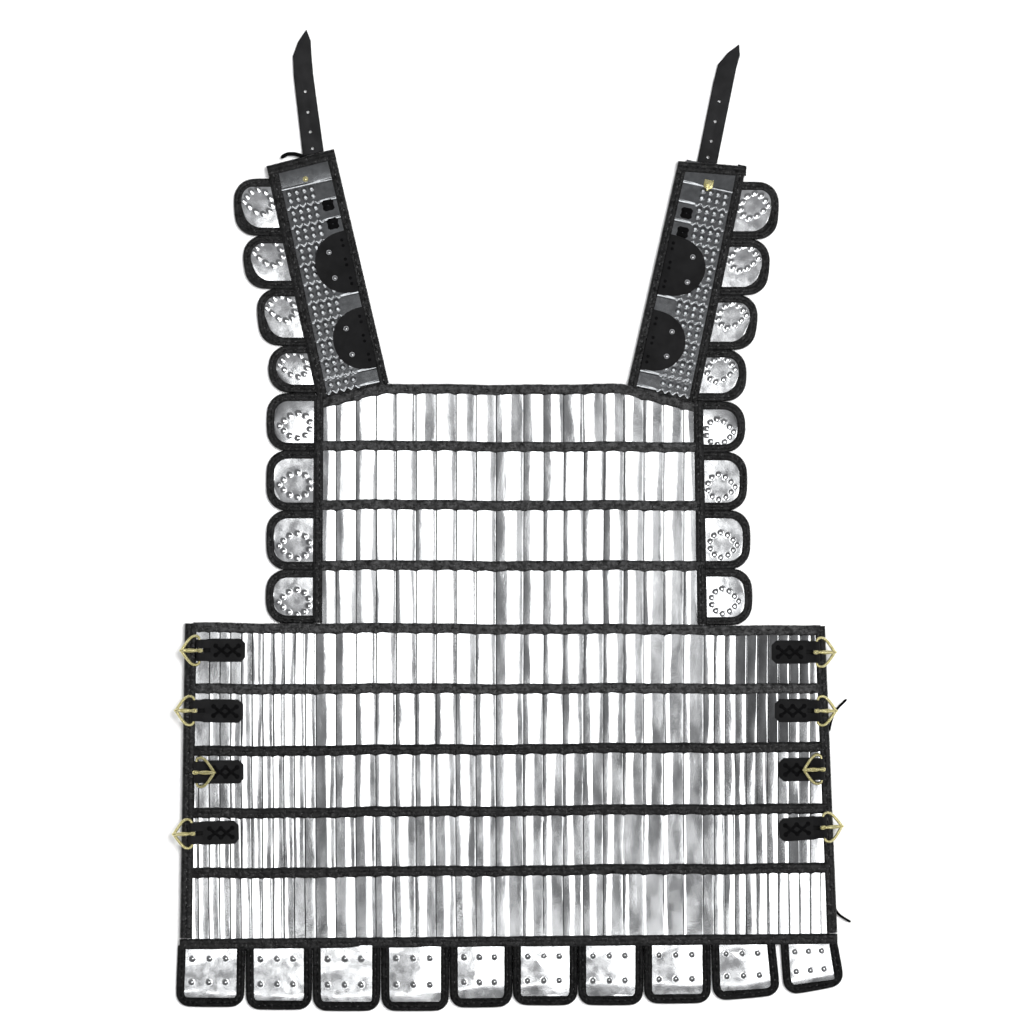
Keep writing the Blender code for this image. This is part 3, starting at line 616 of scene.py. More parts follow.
class ARMOUR_OT_lamellae(bpy.types.Operator):
    """Makes the nine rows of lamellae"""

    bl_idname = "armour.lamellae"
    bl_label = "Rows of Lamellae"

    def execute(self, context):
        chance = random.Random(11)
        for name in ROWS:
            row = Row(name)
            plates = [centre_lamella(row, MIDDLE_LIE[name], chance)]
            for side, stops in row.stops.items():
                for inner, outer in zip(stops, stops[1:]):
                    lie = lie_at(name, side, (inner + outer) / 2)
                    plates.append(lamella(row, side, inner, outer, lie, chance, outer == stops[-1]))
            obj = edited(joined(f"{name}_lamellae", plates), OUTWARDS)
            finished(obj, "steel", [name], smooth=11)
        return {"FINISHED"}


# --- Strips, panels and stitches ---
def spatial(points):
    return [flat(point) if len(point) == 2 else Vector(point) for point in points]


def walked(points, spacing):
    """Evenly spaced points along a line of points, its two ends among them."""
    points = spatial(points)
    lengths = [0.0]
    for one, other in zip(points, points[1:]):
        lengths.append(lengths[-1] + (other - one).length)
    count = max(2, round(lengths[-1] / spacing))
    walk, leg = [], 0
    for i in range(count + 1):
        far = lengths[-1] * i / count
        while leg < len(points) - 2 and lengths[leg + 1] < far:
            leg += 1
        part = (far - lengths[leg]) / max(lengths[leg + 1] - lengths[leg], 1e-9)
        walk.append(points[leg].lerp(points[leg + 1], part))
    return walk


def rounded_line(points):
    """Cuts the corners of a line twice, and keeps its two ends."""
    points = spatial(points)
    for _ in range(2):
        cut = [points[0]]
        for one, other in zip(points, points[1:]):
            cut += [one.lerp(other, 0.25), one.lerp(other, 0.75)]
        points = cut + [points[-1]]
    return points


def strides(path):
    """The points of a path, each with the level ways ahead and to the left there."""
    found = []
    for i, point in enumerate(path):
        ahead = flat(path[min(i + 1, len(path) - 1)] - path[max(i - 1, 0)]).normalized()
        found.append((point, ahead, UP.cross(ahead)))
    return found


def strip(name, path, section, inward=1):
    """Leather swept along a path. Its section runs inwards: to the path's left or, with -1, its right."""
    rings = []
    for i, (point, _, left) in enumerate(strides(path)):
        line = section(i) if callable(section) else section
        rings.append([point + left * inward * far + UP * high for far, high in line])
    return tube(name, rings)


# Kinds of stitch: how high they lie, their pitch, their length and their width.
EDGE_STITCH = (4.75, 7.0, 2.8, 1.2)
BAND_STITCH, SKIRT_STITCH = (3.05, 9.2, 2.0, 1.0), (4.0, 9.2, 2.0, 1.0)
FLAP_STITCH, SCALE_STITCH = (2.5, 6.5, 2.2, 0.7), (2.3, 6.5, 2.2, 0.7)
RIM_STITCH = (3.75, 6.5, 2.8, 1.3)


def stitches(path, inset, kind, inward=1):
    """Stitches along a path, set in from it."""
    high, pitch, length, width = kind
    made = []
    for point, ahead, left in strides(walked(path, pitch))[:-1]:
        middle = point + ahead * pitch / 2 + left * inward * inset + UP * high
        ways = ahead * length / 2, left * inward * width / 2, UP * width / 2
        bead = copy_of(template(ball, "bead", 8, 6), "stitch")
        made.append(shaped(bead, lambda x, y, z: middle + ways[0] * x + ways[1] * y + ways[2] * z))
    return made


def clear_templates():
    for obj in TEMPLATES.values():
        bpy.data.objects.remove(obj)
    TEMPLATES.clear()


def softened_copy(node, width, name):
    """A copy of a CAD node with its edges rounded off."""
    obj = copy_of(frame["nodes"][node], name)
    obj.hide_render = obj.hide_viewport = False
    for key in list(obj.keys()):
        del obj[key]
    merge = (bpy.ops.mesh.remove_doubles, {"threshold": 0.00001})
    dissolve = (bpy.ops.mesh.dissolve_limited, {"angle_limit": math.radians(1)})
    return bevelled(edited(obj, merge, dissolve, OUTWARDS), width, 30)


def turned_round(points, start):
    """The outline of a convex shape in order, anticlockwise, from the point nearest to start."""
    middle = sum(points, Vector((0, 0))) / len(points)
    ordered = sorted(points, key=lambda p: math.atan2(p.y - middle.y, p.x - middle.x))
    first = min(range(len(ordered)), key=lambda i: (ordered[i] - start).length)
    return ordered[first:] + ordered[:first]


# --- The leather that binds the rows ---
# Sections: how far in from the strip's edge, and how high.
BAND_SECTION = (
    (0.9, 0.5), (0, 0.4), (-0.15, 1.5), (0.1, 2.5), (0.8, 3.2), (1.9, 3.45), (3.2, 3.35), (4.3, 3.2),
    (5.1, 2.95), (6, 3.2), (7.6, 3.1), (8.7, 2.75), (9.1, 2.4), (8.8, 2.1), (4, 2.1), (1.2, 2.1),
)
BAND_LOOSE = 6.5  # from here in, a band gives way to the lamellae under it
EDGE_SECTION = (
    (3, 0.1), (0.9, 0.05), (0.15, 0.6), (0, 2.4), (0.35, 3.9), (1.3, 4.8), (2.8, 5.1), (4.3, 4.95),
    (5.2, 4.6), (6, 4.95), (-1.4, 4.8), (-0.4, 4.3), (0, 3.6), (-0.3, 3.1), (-2, 3),
)
RIM_SECTION = (
    (3, 0.1), (0.9, 0.05), (0.15, 0.5), (0, 2), (0.35, 3.2), (1.3, 3.9), (2.8, 4.05), (3.8, 3.9),
    (4.5, 3.6), (5.2, 3.95), (-1.3, 3.85), (-0.4, 3.5), (0, 3), (-0.3, 2.6), (-2, 2.5),
)
EDGE_INNER = 10  # from this point of those two on, distances are from the strip's inner edge
EDGE_WIDTHS = {"chest": (8.3, 8.3), "waist": (10.8, 9.2)}
BAND_STITCH_IN, EDGE_STITCH_IN = 5.1, 5.2


def widened(section, width, lift=0.0):
    """A section with its inner part moved in to a width."""
    return [(far + (width if i >= EDGE_INNER else 0), high + lift) for i, (far, high) in enumerate(section)]


def declared(obj):
    """Returns the piece of leather as it is; nothing is declared here."""
    return obj


def band_stops(row, run_out):
    """Places along a band, six to a lamella, with the part of the lamella at each."""
    found = []
    for side, stops in row.stops.items():
        half = [(0.5, 0.0)] if side > 0 else []
        edges = [0.0] + stops[:-1] + [stops[-1] + run_out]
        for inner, outer in zip(edges, edges[1:]):
            for i in range(1, 7):
                part = i / 6
                half.append((part if inner else 0.5 + part / 2, between(inner, outer, part)))
        found += [(part, side * at) for part, at in half]
    return sorted(found, key=lambda stop: stop[1])


def make_band(name):
    """The leather band over a row's upper ends, pulled in over each lamella."""
    row = Row(name)
    stops = band_stops(row, 2.6)
    chance = random.Random(name)
    path, cusps = [], []
    for part, s in stops:
        wander = 0.4 * math.sin(s / 31 + len(name)) + 0.25 * math.sin(s / 11.3) + chance.uniform(-0.16, 0.16)
        path.append(Vector(row.point(s, row.top(s) + SLEEVE + wander, 0)))
        arch = math.sqrt(max(0.0, 4 * part * (1 - part)))
        depth = 0.7 if abs(s) < row.last_wide else 0.45
        cusps.append(depth * (1 - 1.75 * arch) + chance.uniform(-0.25, 0.25))

    def section(i):
        s = stops[i][1]
        near_end = abs(stops[0 if s < 0 else -1][1]) - abs(s)
        sink = 0.9 * max(0.0, 1 - near_end / 7) + 0.15 * math.sin(s / 3.1)
        return [(far + (cusps[i] if far > BAND_LOOSE else 0), high - sink) for far, high in BAND_SECTION]

    band = finished(strip(f"{name}_band", path, section, -1), "soft_leather" if name in ROWS[:6] else "leather")
    declared(band)
    return stitches(path[4:-4], BAND_STITCH_IN, BAND_STITCH, -1)


def make_edge(panel, word):
    """The leather folded round one end of a panel's rows."""
    node, side = f"{panel}_binding", SIDES[word]
    top, foot = corner(node, side, 0.5), corner(node, side, -0.5)
    width = EDGE_WIDTHS[panel][side > 0]
    if panel == "chest":
        top = top + (top - foot).normalized() * 4.0
    path = walked([top.xy, foot.xy], 3.0)
    chance = random.Random(panel)
    line = widened(EDGE_SECTION, width)
    ripple = [chance.uniform(-0.12, 0.12) for _ in path]

    def section(i):
        return [(far, high + ripple[i] * (high > 3)) for far, high in line]

    edge = strip(f"{panel}_{word}_edge", path, section, -side)
    finished(edge, "leather", [node] if side < 0 else ())
    declared(edge)
    return stitches(path, EDGE_STITCH_IN, EDGE_STITCH, -side)


def make_skirt_band():
    left, right = corner("skirt_band", -1, 1), corner("skirt_band", 1, 1)
    path = walked([left.xy, right.xy], 3.0)
    band = strip("skirt_band_strip", path, [(far, high + 0.9) for far, high in BAND_SECTION], -1)
    declared(finished(band, "leather", ["skirt_band"]))
    return stitches(path, BAND_STITCH_IN, SKIRT_STITCH, -1)


class ARMOUR_OT_bindings(bpy.types.Operator):
    """Makes the bands over the rows, the folded leather at their ends, and the stitches"""

    bl_idname = "armour.bindings"
    bl_label = "Bands and Edges"

    def execute(self, context):
        sewn = {panel: [bead for word in SIDES for bead in make_edge(panel, word)] for panel in EDGE_WIDTHS}
        for name in ROWS:
            sewn[name.split("_")[0]] += make_band(name)
        sewn["waist"] += make_skirt_band()
        for panel, threads in sewn.items():
            gathered(f"{panel}_stitches", threads, "thread")
        return {"FINISHED"}


# --- Flaps and scales ---
EDGING_SECTION = (
    (4, 0.1), (0.9, 0.05), (0.15, 0.4), (0, 1.2), (0.3, 2.1), (1.1, 2.7), (2.3, 2.85), (3.3, 2.7),
    (4, 2.4), (4.7, 2.7), (6, 2.65), (7, 2.3), (7.5, 1.7), (7.3, 1.3),
)
FLAP_STUDS = [(u, v) for v in (0.3, 0.765) for u in (0.135, 0.47, 0.79)]
# How each flap's plate lies: where along it the part that nods to the foot begins, where its rolled foot ends,
# where across it the slope changes, and the slopes to the left and right of that.
PLATE_LIE = (
    (0.72, 0.1, 0.5, 0, 0), (0.7, 0.1, 0.5, 0.01, 0), (0.5, 0.12, 0.45, 0.03, 0.02),
    (0.8, 0.15, 0.55, 0.05, -0.004), (0.62, 0.2, 0.35, 0.06, 0), (0.74, 0.2, 0.5, -0.06, 0),
    (0.8, 0.22, 0.5, -0.05, 0), (0.82, 0.2, 0.5, -0.04, 0.01), (0.8, 0.15, 0.5, -0.03, 0.02),
    (0.9, 0.12, 0.12, 0, 0.034),
)
PLATE_NOD = 0.044
PLATE_ROLL = 0.07
PLATE_IN = (7.0, 7.2, 1.2)  # a flap's plate: in from the sides, up from the foot, up under the band
PLATE_LOW, PLATE_THICK = 2.1, 0.5
STUD_RADIUS = 2.5


def eased(x, width):
    """x where it is over 0 and 0 where it is under, going round the corner within a width."""
    return (x + math.sqrt(x * x + width * width)) / 2


def stud(away, high, at, top=0.5):
    """The height of a raised stud away from its middle: a cone with its top beaten flat, facing the light."""
    part = away.length / STUD_RADIUS
    if part >= 1:
        return 0.0
    rise = high * (1 - part) ** 2 * (1 + 1.6 * part)
    if rise <= high * top:
        return rise
    facing = VIEW_LEAN * at.x * MM * away.x + (LIGHT_RUN * at.y * MM + LIGHT_MIDDLE) / LIGHT_HIGH * away.y
    return high * top + facing


def make_flap(number):
    node = f"skirt_flap_{number:02d}"
    left, right = corner(node, -1, 8), corner(node, 1, 8)
    outline = turned_round(underside(node), left.xy)
    path = walked(rounded_line(outline), 2.5)
    edging = strip("edging", path, [(far - 0.55, high) for far, high in EDGING_SECTION])
    foot = min(p.y for p in outline)
    lower = [p for p in outline if p.y < foot + 25]
    foot_left, foot_right = min(p.x for p in lower), max(p.x for p in lower)
    low_left, low_right = corner(node, -0.25, -1), corner(node, 0.25, -1)
    band_left, band_right = corner("skirt_band", -1, -1), corner("skirt_band", 1, -1)
    slope = (band_right.y - band_left.y) / (band_right.x - band_left.x)

    def spot(u, v, side_in, foot_in, top_out):
        x = between(between(foot_left, left.x, v) + side_in, between(foot_right, right.x, v) - side_in, u)
        low = between(low_left.y, low_right.y, u) + foot_in
        under_band = band_left.y + slope * (x - band_left.x)
        return x, between(low, under_band + top_out, v)

    back = plate("back", 4, 4, lambda u, v, w: (*spot(u, v, 3.0, 3.0, 3.0), between(0.15, 0.6, w)))
    leather = finished(joined(f"{node}_leather", [edging, back]), "edging_leather", [node])
    declared(leather)
    sewn = stitches(path, 4.0, FLAP_STITCH)

    bend, foot_end, split, left_slope, right_slope = PLATE_LIE[number - 1]
    (x0, y0), (x1, y1) = spot(0, 0, *PLATE_IN), spot(1, 1, *PLATE_IN)
    studs = [Vector(spot(u, v, *PLATE_IN)) for u, v in FLAP_STUDS]

    def plate_place(u, v, w):
        x, y = spot(u, v, *PLATE_IN)
        past = eased(v - bend + 0.07 * math.sin(u * 5 + number), 0.05) * (y1 - y0)
        rolled = eased(foot_end - v + 0.03 * math.sin(u * 4 + number), 0.06) * (y1 - y0)
        turn = split + 0.06 * math.sin(v * 5 + number)
        across = left_slope * u + (right_slope - left_slope) * eased(u - turn, 0.14)
        high = PLATE_LOW + (across - (left_slope + right_slope) / 4) * (x1 - x0)
        high = max(high + 0.008 * (y - y0) + PLATE_NOD * past - PLATE_ROLL * rolled, 0.85)
        if w < 0.5:
            return x, y, high - PLATE_THICK
        return x, y, high + sum(stud(Vector((x, y)) - at, 1.4, at) for at in studs)

    steel = edited(plate(f"{node}_plate", 60, 58, plate_place), OUTWARDS)
    finished(steel, "beaten", smooth=50)
    return sewn


# Where each D-shaped scale begins and ends, from the shoulder down.
SCALE_ENDS = {
    "left_shoulder_scales": (306.9, 256, 208.2, 157, 114.7),
    "left_chest_scales": (114.1, 62.3, 8.6, -44.7, -93),
    "right_shoulder_scales": (304, 252.7, 202.6, 153.3, 107.1),
    "right_chest_scales": (106.5, 60.9, 8.6, -43.9, -94.4),
}
# How each scale's plate lies: its inward lean and its nod to the foot in radians, its swell, how far its ring
# of studs is over its middle in mm and, if it is not half its swell, its belly.
SCALE_LIE = {
    "left_shoulder_scales": ((0.009, 0.004, 0.2, 5, 0.1), (0.011, 0, 0.2, 8.3, -0.3), (0, 0, 0.2, 8, 0.08),
                             (0, 0, 0.45, 3.8, 0.12)),
    "left_chest_scales": ((0.008, 0, 0.6, -3.4), (-0.02, 0, 0.15, -3.7, 0), (-0.016, 0, 0.2, -5.1, 0),
                          (-0.016, 0, 0.25, -5, 0)),
    "right_shoulder_scales": ((0, 0, 0.15, 4.3), (0, 0, 0.15, 7.7), (-0.005, 0, 0.2, 6, 0),
                              (-0.002, 0, 0.35, 5, 0)),
    "right_chest_scales": ((0.018, 0, 0.45, -4.6), (-0.014, 0, 0.2, -5.2), (-0.012, 0, 0.2, -5),
                           (0.002, 0, 0.35, -4)),
}
SCALE_EDGING = 7.2  # width of a scale's edging where its plate begins
SCALE_ROUND = 18.0  # radius of its corners
RING_STUDS = 11
RING_REACH = {"left_chest_scales": 13.0}  # half the width of the ring of studs where it is not the usual 11.5


def ring_of_studs(node, reach, middle):
    """The ring of studs on a scale, drawn out to a point towards the arm."""
    ring = []
    for i, turn in enumerate(turns(RING_STUDS)):
        out = RING_REACH.get(node, 11.5) * math.cos(turn) + (1.8 if i == 0 else 0)
        along = 11.3 * math.sin(turn) * (1 - 0.3 * max(0.0, math.cos(turn)))
        ring.append((0.45 * reach + out, middle + along))
    return ring


def make_scale(node, number, base, leathers, plates):
    """One D-shaped scale of a comb: its edging, back and studded plate."""
    side = SIDES[node.split("_")[0]]
    top, foot = SCALE_ENDS[node][number : number + 2]
    middle = (top + foot) / 2
    rim = [p for p in underside(node) if foot + 0.2 < p.y < top - 0.2]
    for p in rim:
        p.y = middle + (p.y - middle) * 1.035
    rim += [Vector((base(y) - side * 1.2, y)) for y in (top + 0.4, foot - 0.4)]
    path = walked(rounded_line(turned_round(rim, rim[-2] if side < 0 else rim[-1])), 2.5)
    lift = 0.12 * (number % 2)
    section = [(far * 0.96, high * 0.92 + lift) for far, high in EDGING_SECTION]
    leathers.append(strip("edging", path, section))
    sewn = stitches(path, 3.9, SCALE_STITCH)

    out = max(side * p.x for p in rim)
    lower = max(side * p.x for p in rim if p.y < between(foot, top, 0.45))
    upper = max(side * p.x for p in rim if p.y > between(foot, top, 0.55))
    half = (top - foot) / 2 - SCALE_EDGING

    def spot(u, v, inset=SCALE_EDGING):
        tall = half + SCALE_EDGING - inset
        reach = between(lower, upper, v) - side * base(middle) - inset
        far = reach * (1 - (1 - u) ** 1.5)
        radius = min(tall, SCALE_ROUND - inset * 0.75)
        past = max(0.0, far - (reach - radius))
        rise = tall - radius + math.sqrt(max(0.0, radius**2 - past**2))
        y = middle + (2 * v - 1) * rise
        return base(y) + side * far, y, far

    def back_place(u, v, w):
        x, y, _ = spot(u, v, 3.0)
        return x - side * (1 - u), y, between(0.1, 1.0, w)

    leathers.append(plate("back", 8, 6, back_place))
    lean, nod, swell, up, *rest = SCALE_LIE[node][number]
    belly = rest[0] if rest else swell * 0.5
    reach = out - side * base(middle) - SCALE_EDGING
    ring = ring_of_studs(node, reach, middle + up)

    def plate_place(u, v, w):
        x, y, far = spot(u, v)
        high = 1.7 + 2 * lean * (1 - v) * (far - reach / 2) + nod * (y - middle)
        high += belly * (1 - (2 * far / reach - 1) ** 2) + swell * (1 - (2 * v - 1) ** 2) - swell * 0.6
        high = max(high, 1.15)
        if w < 0.5:
            return x, y, high - PLATE_THICK
        for at_far, at_y in ring:
            at = Vector((x + side * (at_far - far), at_y))
            high += stud(Vector((x, y)) - at, 1.6, at, 0.28)
        return x, y, high

    plates.append(plate("plate", 48, 48, plate_place))
    return sewn


def make_scales(node):
    """A comb of D-shaped scales."""
    side = SIDES[node.split("_")[0]]
    top, foot = corner(node, -side, 1), corner(node, -side, -1)

    def base(y):
        return between(foot.x, top.x, (y - foot.y) / (top.y - foot.y))

    leathers, plates, sewn = [], [], []
    ends = SCALE_ENDS[node]
    for number in range(len(ends) - 1):
        sewn += make_scale(node, number, base, leathers, plates)
    leather = finished(joined(f"{node}_leather", leathers), "leather", [node])
    declared(leather)
    finished(edited(joined(f"{node}_steel", plates), OUTWARDS), "beaten", smooth=50)
    return sewn


class ARMOUR_OT_flaps(bpy.types.Operator):
    """Makes the ten flaps of the skirt with their studded plates"""

    bl_idname = "armour.flaps"
    bl_label = "Skirt Flaps"

    def execute(self, context):
        sewn = [bead for number in range(1, 11) for bead in make_flap(number)]
        gathered("skirt_stitches", sewn, "thread")
        return {"FINISHED"}


class ARMOUR_OT_scales(bpy.types.Operator):
    """Makes the D-shaped scales along the arm holes"""

    bl_idname = "armour.scales"
    bl_label = "Arm-Hole Scales"

    def execute(self, context):
        sewn = [bead for node in SCALE_ENDS for bead in make_scales(node)]
        gathered("scale_stitches", sewn, "thread")
        return {"FINISHED"}


# --- Shoulder straps ---
STRAP_LEAN = math.radians(12.5)  # outwards, near enough to find a strap's corners
RIMS = {"left": (8.0, 9.4), "right": (8.4, 7.8)}  # widths of the folded leather at the neck and at the arm
RIM_TOP = 9.0
STRAP_PITCH = 17.4
STRAP_FOOT = 1.4  # where the lowest plate ends
TOP_PLATE = 18.0
STUD_PITCH = 6.9
BED = 1.6  # of the plates' undersides
SCALLOP = 1.4  # how far a plate's edge waves about its line under the studs
LIP = 2.3  # width of a plate's polished lower lip
LIP_NOD, LIP_LEAN = 0.13, 0.036  # how that lip turns to the foot and to the neck
LIP_EDGE, LIP_EDGE_WIDE = 0.42, 0.5  # the slope and width of its very edge
STRAP_NOD, TOP_NOD, TOP_CURVE = -0.045, -0.05, 0.085  # of the studded plates, and of the plain one at the top
# The black lacings on each strap: from the neck's rim, and from the strap's top.
LACINGS = {"left": ((8.6, 48.0), (8.2, 65.2)), "right": ((9.2, 44.4), (9.6, 62.0))}
# The patches: their middle along the strap, their reach, and the rivets' place across and spacing.
PATCHES = {
    "left": (("upper", 113.8, 32.5, -6.5, 23.6), ("lower", 43.4, 32.5, -6.4, 24.0)),
    "right": (("upper", 114.4, 37.8, 0.6, 23.2), ("lower", 45.1, 35.0, -3.3, 22.6)),
}
PATCH_LENGTH = 55.0
PATCH_LOW, PATCH_HIGH = 3.5, 4.9
RIVET_AT = (-184.0, 306.6, 3.4)
HOOK_AT = (178.4, 301.4)
HOOK = [(-4.2, 4.4), (-4.2, -2.4), (-1.2, -4.0), (0.0, -6.0), (1.2, -4.0), (4.2, -2.4), (4.2, 4.4)]


class Strap:
    """A strap's own frame, from its CAD node: u towards the arm and v up from its foot."""

    def __init__(self, word):
        self.word, self.side = word, SIDES[word]
        up = Vector((self.side * math.sin(STRAP_LEAN), math.cos(STRAP_LEAN)))
        out = Vector((self.side * up.y, -self.side * up.x))

        def found(far_out, far_up):
            way = out * far_out + up * far_up
            return flat(corner(f"{word}_strap_leather", way.x, way.y))

        neck_foot, arm_foot = found(-1, -0.3), found(1, -0.3)
        self.foot = (neck_foot + arm_foot) / 2
        self.across = (arm_foot - neck_foot).normalized()
        self.along = UP.cross(self.across) * self.side
        self.neck_foot, self.arm_foot = self.local(neck_foot), self.local(arm_foot)
        self.neck_top, self.arm_top = self.local(found(-1, 3)), self.local(found(1, 3))
        self.top = max(self.neck_top[1], self.arm_top[1])
        self.rim_in, self.rim_out = RIMS[word]

    def local(self, point):
        away = point - self.foot
        return away.dot(self.across), away.dot(self.along)

    def point(self, u, v, high=0.0):
        return self.foot + self.across * u + self.along * v + UP * high

    def sides(self, v):
        """Where the strap's neck and arm sides are, v from its foot."""
        neck = between(self.neck_foot[0], self.neck_top[0], v / self.neck_top[1])
        return neck, between(self.arm_foot[0], self.arm_top[0], v / self.arm_top[1])

    def bed(self, v):
        neck, arm = self.sides(v)
        return neck + self.rim_in, arm - self.rim_out

    def first_stud(self, v):
        """The stud nearest to the arm in a row."""
        return self.bed(v)[1] - 5.0

    def plates(self):
        """Where the plates lie, from the top down: their upper and lower ends."""
        top = self.top - RIM_TOP
        ends = [top + 1, top - TOP_PLATE]
        while ends[-1] - STRAP_PITCH > STRAP_FOOT:
            ends.append(ends[-1] - STRAP_PITCH)
        if ends[-1] - STRAP_FOOT > STRAP_PITCH / 3:
            ends.append(STRAP_FOOT)
        return zip(ends, ends[1:])


def make_strap_leather(strap):
    """The strap's backing, and the leather folded over its two sides and its top."""

    def back_place(u, v, w):
        far = between(-1.0, min(strap.neck_top[1], strap.arm_top[1]) - 2, v)
        neck, arm = strap.sides(far)
        return strap.point(between(neck + 1.5, arm - 1.5, u), far, between(0.1, 1.1, w))

    pieces, sewn = [plate("back", 4, 8, back_place)], []
    for foot, top, width, inward in (
        (strap.neck_foot, strap.neck_top, strap.rim_in, -strap.side),
        (strap.arm_foot, strap.arm_top, strap.rim_out, strap.side),
    ):
        run = walked([strap.point(foot[0], foot[1] - 0.6), strap.point(*top)], 3.0)
        pieces.append(strip("rim", run, widened(RIM_SECTION, width), inward))
        sewn += stitches(run, width * 0.5, RIM_STITCH, inward)
    run = walked([strap.point(*strap.neck_top), strap.point(*strap.arm_top)], 3.0)
    pieces.append(strip("rim", run, widened(RIM_SECTION, RIM_TOP, 0.7), -strap.side))
    obj = joined(f"{strap.word}_strap_backing", pieces)
    finished(obj, "leather", [f"{strap.word}_strap_leather"])
    declared(obj)
    return sewn


def make_strap_plate(strap, upper, lower, studded, chance):
    """One plate across a strap: its lip scalloped round the studs, the studs, and its plain upper end."""
    rows = [lower + 8.0, lower + 14.4] if studded else []
    studs = [(strap.first_stud(v) - STUD_PITCH * i, v) for v in rows for i in range(4)]
    nod = (STRAP_NOD if studded else TOP_NOD) + chance.uniform(-0.004, 0.004)
    curved = 0 if studded or strap.side > 0 else TOP_CURVE
    arm_edge = strap.first_stud(lower) + STUD_PITCH / 2

    def place(u, v, w):
        far = between(lower, upper + 2.5, v**1.25)
        neck, arm = strap.bed(far)
        s = between(neck - 1.4, arm + 1.4, u)
        part = (arm_edge - s) / STUD_PITCH
        cut = studded and -0.2 < part < 4.2
        scallop = -SCALLOP * math.cos(2 * math.pi * part) if cut else 0.0
        far += scallop * max(0.0, 1 - v * 2.6)
        up = far - lower
        over = up - scallop
        in_cell = (0.5 - (part + 0.5) % 1.0) * STUD_PITCH if cut else (s - between(neck, arm, 0.3)) * 0.6
        facing = LIP_LEAN * in_cell - LIP_NOD * (LIP - up)
        high = BED + 1.35 + nod * up + clipped((LIP - over) / 0.35) * facing
        high += curved * up * (1 - up / 2 / TOP_PLATE) - LIP_EDGE * max(0.0, LIP_EDGE_WIDE - over)
        if far > upper:
            high -= 0.35 * min(1.0, (far - upper) / 0.4)
        high = max(high, BED + 0.5)
        if w < 0.5:
            return strap.point(s, far, high - 0.45)
        for at_s, at_v in studs:
            away = strap.across * (s - at_s) + strap.along * (far - at_v)
            high += stud(away.xy, 1.7, strap.point(at_s, at_v).xy, 0.25)
        return strap.point(s, far, high)

    return plate("plate", 112, 44, place)


def half_ball(name, around):
    cut = {"plane_co": (0, 0, 0), "plane_no": (0, 0, 1), "clear_inner": True, "use_fill": True}
    return edited(ball(name, around, 8), (bpy.ops.mesh.bisect, cut), OUTWARDS)


def dome(name, at, radius, high, around=14):
    """A low dome for a rivet's head."""
    half = copy_of(template(half_ball, "dome", around), name)
    return shaped(half, lambda x, y, z: (at[0] + radius * x, at[1] + radius * y, at[2] + high * z))


def panel(name, outline, low, high, edge=0.5):
    """A flat piece of leather with rounded edges, from an outline in millimetres."""
    corners = {"vertices": len(outline), "fill_type": "NGON", "radius": 1}
    obj = added(name, bpy.ops.mesh.primitive_circle_add, **corners)
    for vertex, point in zip(obj.data.vertices, outline):
        vertex.co = Vector((point[0], point[1], low)) * MM
    return bevelled(edited(obj, raised((high - low) * MM), OUTWARDS), edge, 50)


def thong(name, points, width, thick=None, around=8):
    """A lace through points in millimetres, flat if its thickness is given, with rounded ends."""
    path = walked(rounded_line(points), max(0.8, width * 0.35))
    rings = []
    for i, (point, _, left) in enumerate(strides(path)):
        near = min(i, len(path) - 1 - i)
        full = (0.45, 0.85)[near] if near < 2 else 1.0
        rings.append(oval(point, left * width / 2 * full, UP * (thick or width) / 2 * full, around))
    return tube(name, rings), path


def make_patch(strap, word, middle, reach, rivet_u, spacing):
    """A D of leather on the plates, with its straight side at the neck, two rivets and three pairs of holes."""
    node = f"{strap.word}_strap_patch_{word}"
    straight = strap.bed(middle)[0] - 0.6
    outline = []
    for i in range(25):
        turn = math.radians(-90 + 180 * i / 24)
        u = straight + reach * max(0.0, math.cos(turn)) ** 0.8
        outline.append(strap.point(u, middle + PATCH_LENGTH / 2 * math.sin(turn)))
    obj = panel(f"{node}_leather", outline, PATCH_LOW, PATCH_HIGH)
    finished(obj, "strap", [node], smooth=40)
    declared(obj)
    ends = [strap.point(rivet_u, middle + end * spacing / 2, PATCH_HIGH - 0.1) for end in (-1, 1)]
    holes = [
        strap.point(straight + 5.2 - abs(end) * 0.8, middle + end * 17.5 + step, PATCH_HIGH - 0.45)
        for end in (-1, 0, 1) for step in (-2.6, 2.6)
    ]
    return [dome("rivet", at, 2.6, 1.3) for at in ends], [dome("lacing", at, 1.8, 0.9, 10) for at in holes]


def make_lacing(strap, inset, down):
    """A square of crossed black lace on the plates."""
    v0 = strap.neck_top[1] - down
    u0 = strap.bed(v0)[0] + inset
    made = []
    for step in (-2.6, 2.6):
        for lift, ends in ((0.5, ((-5.2, step), (5.2, step))), (0.0, ((step, -5.0), (step, 5.0)))):
            one, other = [strap.point(u0 + u, v0 + v, 2.9 + lift * 0.5) for u, v in ends]
            mid = (one + other) / 2 + UP * (1.0 + lift)
            points = [one, mid + (one - mid) * 0.4, mid + (other - mid) * 0.4, other]
            made.append(thong("lacing", points, 4.4, 1.1)[0])
    return made


